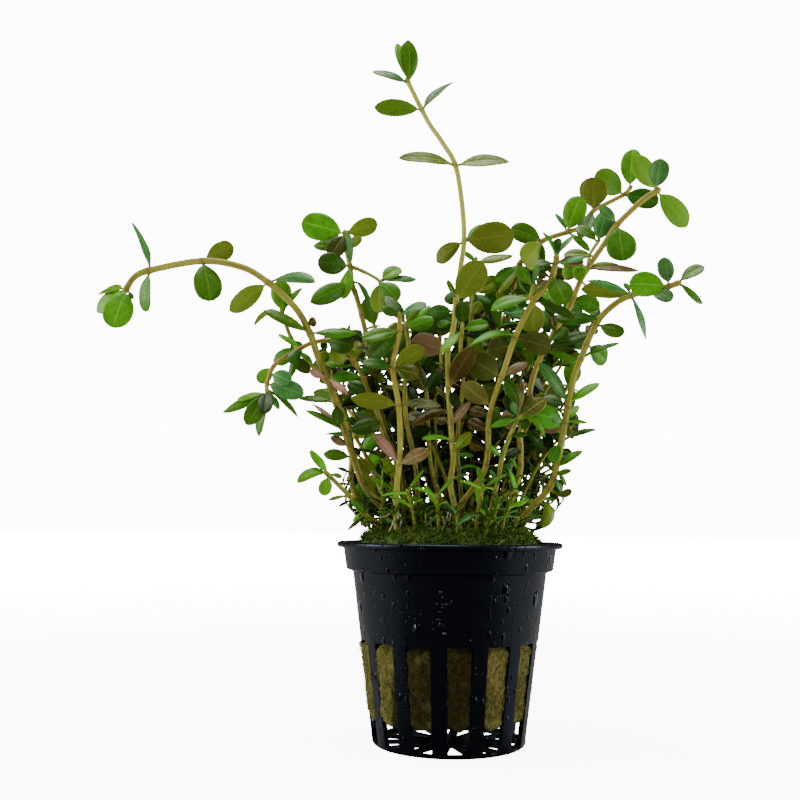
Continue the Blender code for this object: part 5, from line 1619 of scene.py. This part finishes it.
class ROTALA_OT_net_pot(bpy.types.Operator):
    """Build the moulded net pot, with its slots and rounded edges"""
    bl_idname = "rotala.net_pot"
    bl_label = "Net Pot"

    def execute(self, context):
        settings = context.scene.rotala_pot
        bm = bmesh.new()
        verts = [bm.verts.new((r * MM, 0, z * MM)) for r, z in pot_profile()]
        for start, end in zip(verts, verts[1:]):
            bm.edges.new((start, end))
        blank = add_object("pot_blank", mesh_of(bm, "pot_blank"))
        turn = blank.modifiers.new("Turn", "SCREW")
        turn.axis = "Z"
        turn.steps = turn.render_steps = settings.steps
        turn.use_merge_vertices = True
        turn.merge_threshold = 0.00001
        bm = bmesh.new()
        for k in range(RIBS):
            middle = FIRST_RIB + (k + 0.5) * 2 * math.pi / RIBS
            slot_prism(bm, middle, RIB_W, SLOT_IN_R, LIP_R, SLOT_FOOT_Z, SLOT_TOP_Z)
            slot_prism(bm, middle, SPOKE_W, *FLOOR_SLOT_R, *FLOOR_SLOT_Z)
        bmesh.ops.recalc_face_normals(bm, faces=bm.faces)
        cutter = add_object("pot_cutter", mesh_of(bm, "pot_cutter"))
        cut = blank.modifiers.new("Slots", "BOOLEAN")
        cut.operation = "DIFFERENCE"
        cut.object = cutter
        soften = blank.modifiers.new("Edges", "BEVEL")
        soften.width = settings.edge
        soften.segments = 2
        soften.limit_method = "ANGLE"
        soften.angle_limit = math.radians(48)
        mesh = finished_mesh(blank)
        bpy.data.objects.remove(cutter)
        mesh.materials.clear()
        mesh.materials.append(plastic_material())
        for polygon in mesh.polygons:
            polygon.use_smooth = True
        mesh.set_sharp_from_angle(angle=math.radians(40))
        place_piece("net_pot_moulded", mesh, replaces=("net_pot",), slot="pot_plastic")
        return {"FINISHED"}


class ROTALA_OT_rockwool(bpy.types.Operator):
    """Build the fibrous plug, which swells a little into the pot's slots"""
    bl_idname = "rotala.rockwool"
    bl_label = "Rock Wool Plug"

    def execute(self, context):
        settings = context.scene.rotala_wool
        rng = random.Random(21)
        form = Form()
        slot = form.slot(wool_material("Rock Wool", 1.0))
        fibre_slot = form.slot(wool_material("Rock Wool Fibre", 1.35))
        half = math.pi / RIBS
        angles = [FIRST_RIB - math.pi / 2 + (2 * k + 1 + off) * half
                  for k in range(RIBS) for off in WOOL_COLUMNS]
        loops = []
        for row in range(WOOL_ROWS):
            z = WOOL_FOOT_Z + (WOOL_TOP_Z - WOOL_FOOT_Z) * row / (WOOL_ROWS - 1)
            loops.append([form.vert(wool_point(angle, z), row / WOOL_ROWS) for angle in angles])
        for low, high in zip(loops, loops[1:]):
            form.bridge(low, high, slot)
        for loop, z, turned in ((loops[0], WOOL_FOOT_Z + 0.2, True), (loops[-1], WOOL_TOP_Z, False)):
            inner = [form.vert(Vector((form.verts[v].x / MM * 0.5, form.verts[v].y / MM * 0.5, z)))
                     for v in loop]
            if turned:
                loop.reverse()
                inner.reverse()
            form.bridge(loop, inner, slot)
            form.fan(inner, form.vert(Vector((0, 0, z))), slot)
        for _ in range(settings.fibres):
            add_wool_fibre(form, rng, fibre_slot)
        form.build("rockwool_fibrous", replaces=("rockwool_plug",), slot="rockwool")
        return {"FINISHED"}


# Places of the plug's columns from the middle of a slot, as shares of the way to a rib's middle
WOOL_COLUMNS = (-0.84, -0.69, -0.65, -0.61, -0.57, -0.47, -0.36, -0.24, -0.12, 0, 0.12, 0.24, 0.36,
                0.47, 0.57, 0.61, 0.65, 0.69, 0.84, 1)


def slot_share(angle):
    """1 in the middle of a slot, 0 behind a rib."""
    period = 2 * math.pi / RIBS
    from_rib = (angle + math.pi / 2 - FIRST_RIB) % period
    off = abs(from_rib - period / 2) / (period / 2)
    return max(0.0, min(1.0, (0.67 - off) / 0.07))


def wool_point(angle, z, lift=0.0):
    """Point on the plug's surface, which bulges where a slot's height and width let it."""
    inner = min(wall_radius(z) - WALL_T - 0.15, 21.6)
    within = min(1, max(0, (24.7 - z) / 1.2), max(0, z - 5.6) / 1.5)
    swell = (1.35 - 0.35 * math.cos(angle)) * slot_share(angle) * within
    rough = 0.28 * math.sin(angle * 23 + z * 0.9) * math.sin(z * 0.63 + angle * 7)
    rough += 0.22 * math.sin(angle * 61 + z * 2.3 + math.sin(z * 1.7) * 2)
    ragged = max(0, 1 - abs(z - WOOL_FOOT_Z) / 1.6) * math.sin(
        angle * 17 + math.sin(angle * 5) * 3)
    radius = inner + swell - 0.35 + rough * (0.4 + slot_share(angle) * 0.4) + lift - abs(ragged) * 0.5
    radius = min(radius, wall_radius(z) - WALL_T - 0.12 + swell * 1.2)
    return Vector((radius * math.cos(angle), radius * math.sin(angle), z + ragged * 0.5))


def add_wool_fibre(form, rng, slot):
    """One thin curved fibre that lies on the plug where a slot shows it."""
    angle = rng.uniform(0, 2 * math.pi)
    for _ in range(20):
        if slot_share(angle) > 0.2:
            break
        angle = rng.uniform(0, 2 * math.pi)
    z = rng.uniform(6.7, 24)
    heading = rng.gauss(math.pi / 2, 0.8)
    bend = rng.uniform(-0.5, 0.5)
    length = rng.uniform(1.5, 5)
    steps = 5
    points = []
    for k in range(steps + 1):
        lift = 0.12 + 0.3 * math.sin(math.pi * k / steps) * rng.random()
        share = slot_share(angle)
        if share <= 0.02 or not 5.2 < z < 24.6:
            break
        points.append(wool_point(angle, z, lift))
        angle += math.cos(heading) * length / steps / 19
        z += math.sin(heading) * length / steps
        heading += bend
    if len(points) > 2:
        radius = rng.uniform(0.035, 0.075)
        sweep(form, points, [radius] * len(points), 3, slot, vary=rng.random())


def moss_height(x, y):
    """Top of the moss pad."""
    reach = math.hypot(x, y)
    lumps = 0.35 * math.sin(x * 0.9 + 1.3) * math.sin(y * 0.8 + 0.4) + 0.25 * math.sin(x * 1.9 - y * 1.4)
    edge = max(0.0, (reach - 17.5) / 4.6)
    return MOSS_TOP_Z + lumps * 0.7 - 3.4 * edge ** 2.2


class ROTALA_OT_moss(bpy.types.Operator):
    """Build the moss pad and the strands that stand on it"""
    bl_idname = "rotala.moss"
    bl_label = "Moss Layer"

    def execute(self, context):
        settings = context.scene.rotala_moss
        rng = random.Random(31)
        form = Form()
        slot = form.slot(moss_material())
        loops = []
        for ring in range(1, MOSS_RINGS + 1):
            reach = MOSS_R * ring / MOSS_RINGS
            loop = []
            for k in range(MOSS_COLUMNS):
                angle = 2 * math.pi * k / MOSS_COLUMNS
                edge = reach * (1 + 0.012 * math.sin(angle * 9) + 0.01 * math.sin(angle * 23 + 1))
                x, y = edge * math.cos(angle), edge * math.sin(angle)
                loop.append(form.vert(Vector((x, y, moss_height(x, y) - 0.4)), 0, 0, 0, rng.random()))
            loops.append(loop)
        form.fan(loops[0], form.vert(Vector((0, 0, moss_height(0, 0) - 0.4))), slot)
        for low, high in zip(loops, loops[1:]):
            form.bridge(high, low, slot)
        skirt = [form.vert(Vector((form.verts[v].x / MM, form.verts[v].y / MM, MOSS_FOOT_Z)))
                 for v in loops[-1]]
        form.bridge(skirt, loops[-1], slot)
        form.face(tuple(reversed(skirt)), slot)
        for _ in range(settings.strands):
            add_moss_strand(form, rng, slot, settings.length / MM)
        form.build("moss_strands", replaces=("moss_layer",), slot="moss")
        return {"FINISHED"}


def add_moss_strand(form, rng, slot, longest):
    reach = 21.7 * math.sqrt(rng.random() * 0.97 + 0.03)
    angle = rng.uniform(0, 2 * math.pi)
    x, y = reach * math.cos(angle), reach * math.sin(angle)
    foot = Vector((x, y, moss_height(x, y) - 0.45))
    out = Vector((math.cos(angle), math.sin(angle), 0))
    lean = Vector((rng.gauss(0, 0.6), rng.gauss(0, 0.6), 0)) + out * max(0, reach - 15) * 0.16
    heading = (Vector((0, 0, 1)) + lean).normalized()
    bend = Vector((rng.gauss(0, 0.5), rng.gauss(0, 0.5), -0.25))
    length = longest * rng.uniform(0.35, 1)
    points = [foot]
    for _ in range(3):
        points.append(points[-1] + heading * length / 3)
        heading = (heading + bend * 0.4).normalized()
    width = rng.uniform(0.07, 0.15)
    sweep(form, points, [width, width * 1.1, width * 0.8, width * 0.25], 3, slot, vary=rng.random())


# White roots that hang from the lowest nodes: points as seen from the front, and the depth.
ROOTS = [
    ([(-13.5, 56), (-15.5, 54.3), (-17.5, 53.8)], -13), ([(-12.5, 54.5), (-12.7, 53.8), (-13, 53.2)], -14),
    ([(-12.3, 54.8), (-12.0, 54), (-11.9, 53)], -14), ([(-13.8, 53), (-14.3, 51.6), (-15, 50.3)], -15),
    ([(-11.8, 53), (-12.2, 51.6), (-12.3, 50.5)], -14.5), ([(-0.3, 55.3), (-1, 52.5), (-2.3, 50.7)], -16),
    ([(0.3, 55), (0, 53), (-0.3, 51)], -15.5), ([(-4.6, 54), (-4.6, 52.5), (-4.5, 51)], -15),
    ([(5.5, 53.6), (6.6, 53.1), (7.7, 52.8)], -15),
]


class ROTALA_OT_roots(bpy.types.Operator):
    """Build the thin white roots at the foot of the bunch"""
    bl_idname = "rotala.roots"
    bl_label = "Water Roots"

    def execute(self, context):
        form = Form()
        slot = form.slot(root_material())
        for points, depth in ROOTS:
            path = smooth_path([seen(x, z, depth) for x, z in points], 5)
            radii = [0.15 * (1 - 0.5 * k / (len(path) - 1)) for k in range(len(path))]
            sweep(form, path, radii, 6, slot)
        form.build("water_roots", slot="leaf_mid")
        return {"FINISHED"}


# Shoots

class ROTALA_OT_front_shoots(bpy.types.Operator):
    """Build the shoots that the front view shows"""
    bl_idname = "rotala.front_shoots"
    bl_label = "Front Shoots"

    def execute(self, context):
        rng = random.Random(41)
        for name, (route, widths) in all_routes().items():
            if name in SHOOTS:
                shoot = SHOOTS[name]
                build_shoot(name, route, widths, shoot["tints"], shoot["bark"], rng, None)
        return {"FINISHED"}


class ROTALA_OT_rear_shoots(bpy.types.Operator):
    """Build the shoots of the bunch's rear half and the low sprigs"""
    bl_idname = "rotala.rear_shoots"
    bl_label = "Rear Shoots and Sprigs"

    def execute(self, context):
        rng = random.Random(43)
        leaf_rng = random.Random(11)
        for name, (route, widths) in all_routes().items():
            if name in SHOOTS:
                continue
            low = name.startswith("sprig")
            number = int(name.split("_")[-1])
            tints = "gbgb" if low else REAR_TINTS[number % len(REAR_TINTS)]
            bark = ("green", "green") if low else REAR_BARKS[number % len(REAR_BARKS)]
            build_shoot(name, route, widths, tints, bark, rng, leaf_rng)
        return {"FINISHED"}


class ROTALA_OT_inner_growth(bpy.types.Operator):
    """Grow thin shoots, side shoots, low growth and single leaves wherever the bunch has room"""
    bl_idname = "rotala.inner_growth"
    bl_label = "Inner Growth"

    def execute(self, context):
        settings = context.scene.rotala_growth
        for name, grow, amount, seed in (
                ("inner_shoots", grow_inner_shoots, settings.inner_shoots, 61),
                ("side_shoots", grow_side_shoots, settings.side_shoots, 62),
                ("undergrowth", grow_undergrowth, settings.undergrowth, 63),
                ("inner_leaves", fill_gaps, settings.inner_leaves, 64)):
            form = Form()
            grow(form, random.Random(seed), amount)
            if form.faces:
                form.build(name, slot="leaf_mid")
        return {"FINISHED"}


class ROTALA_OT_stage(bpy.types.Operator):
    """Set up the floor, the soft studio lights and the camera"""
    bl_idname = "rotala.stage"
    bl_label = "Stage"

    def execute(self, context):
        settings = context.scene.rotala_stage
        scene = context.scene
        bm = bmesh.new()
        bmesh.ops.create_grid(bm, x_segments=1, y_segments=1, size=3)
        floor = add_object("floor", mesh_of(bm, "floor"))
        floor.data.materials.append(floor_material())
        for name, place, aim, size, power in (
                ("overhead_light", (-0.1, 0.0, 0.75), (0, 0, 0.1), 0.35, settings.key_light),
                ("left_light", (-0.58, -0.1, 0.2), (0, 0, 0.08), 0.3, settings.side_light),
                ("right_light", (0.58, -0.06, 0.2), (0, 0, 0.08), 0.3, settings.side_light),
                ("front_light", (0.05, -0.8, 0.55), (0, 0, 0.1), 0.3, settings.front_light)):
            light = bpy.data.lights.new(name, "AREA")
            light.size = size
            light.energy = power
            obj = add_object(name, light)
            obj.location = place
            obj.rotation_euler = (Vector(aim) - Vector(place)).to_track_quat("-Z", "Y").to_euler()
        world = bpy.data.worlds.new("Studio")
        world.use_nodes = True
        nodes = Nodes(world.node_tree)
        surroundings = nodes.tree.nodes["Background"]
        backdrop = nodes.put("ShaderNodeBackground")
        sight = nodes.put("ShaderNodeLightPath").outputs
        glow = nodes.calc("MULTIPLY_ADD", sight["Is Glossy Ray"], -0.7 * settings.ambient,
                          settings.ambient)
        nodes.fill(surroundings, (1, 0.98, 0.94), glow)
        nodes.feed(settings.backdrop, backdrop.inputs["Strength"])
        seen_world = nodes.fill(nodes.put("ShaderNodeMixShader"), sight["Is Camera Ray"],
                                surroundings.outputs[0], backdrop.outputs[0])
        nodes.feed(seen_world, nodes.tree.nodes["World Output"].inputs["Surface"])
        scene.world = world
        camera = bpy.data.cameras.new("front_camera")
        camera.lens = settings.lens
        camera.sensor_width = 36
        camera.clip_start = 0.01
        scene.camera = add_object("front_camera", camera)
        scene.camera.matrix_world = camera_matrix()
        return {"FINISHED"}


CAMERA_YAW = -0.0480
CAMERA_PITCH = 0.1112
CAMERA_ROLL = 0.0092


def camera_matrix():
    """Camera at the eye, turned as the photograph's own view of the pot."""
    forward = Vector((math.sin(CAMERA_YAW) * math.cos(CAMERA_PITCH),
                      math.cos(CAMERA_YAW) * math.cos(CAMERA_PITCH), math.sin(CAMERA_PITCH)))
    right = forward.cross(Vector((0, 0, 1))).normalized()
    up = right.cross(forward)
    rolled_right = right * math.cos(CAMERA_ROLL) + up * math.sin(CAMERA_ROLL)
    rolled_up = up * math.cos(CAMERA_ROLL) - right * math.sin(CAMERA_ROLL)
    matrix = Matrix((rolled_right, rolled_up, -forward)).transposed().to_4x4()
    matrix.translation = EYE * MM
    return matrix


class ROTALA_PT_panel(bpy.types.Panel):
    bl_idname = "ROTALA_PT_panel"
    bl_label = "Potted Dwarf Rotala"
    bl_space_type = "VIEW_3D"
    bl_region_type = "UI"
    bl_category = "Rotala"

    def draw(self, context):
        for name, _, operators in PARTS:
            box = self.layout.box()
            for operator in operators:
                box.operator(operator.bl_idname)
            settings = getattr(context.scene, name)
            for key in settings.bl_rna.properties.keys():
                if key not in ("rna_type", "name"):
                    box.prop(settings, key)


# What the panel shows, in the order of building: settings' name and class, and their operators
PARTS = (
    ("rotala_pot", RotalaPotSettings, (ROTALA_OT_net_pot,)),
    ("rotala_wool", RotalaWoolSettings, (ROTALA_OT_rockwool,)),
    ("rotala_moss", RotalaMossSettings, (ROTALA_OT_moss,)),
    ("rotala_leaf", RotalaLeafSettings, (ROTALA_OT_front_shoots, ROTALA_OT_rear_shoots)),
    ("rotala_growth", RotalaGrowthSettings, (ROTALA_OT_inner_growth,)),
    ("rotala_stem", RotalaStemSettings, (ROTALA_OT_roots,)),
    ("rotala_stage", RotalaStageSettings, (ROTALA_OT_stage,)),
)
OPERATORS = [operator for _, _, operators in PARTS for operator in operators]


def register():
    for name, group, _ in PARTS:
        bpy.utils.register_class(group)
        setattr(bpy.types.Scene, name, PointerProperty(type=group))
    for operator in OPERATORS:
        bpy.utils.register_class(operator)
    bpy.utils.register_class(ROTALA_PT_panel)


def unregister():
    bpy.utils.unregister_class(ROTALA_PT_panel)
    for operator in reversed(OPERATORS):
        bpy.utils.unregister_class(operator)
    for name, group, _ in reversed(PARTS):
        delattr(bpy.types.Scene, name)
        bpy.utils.unregister_class(group)


def main():
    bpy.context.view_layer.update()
    register()
    for operator in OPERATORS:
        family, action = operator.bl_idname.split(".")
        getattr(getattr(bpy.ops, family), action)()


if __name__ == "__main__":
    main()
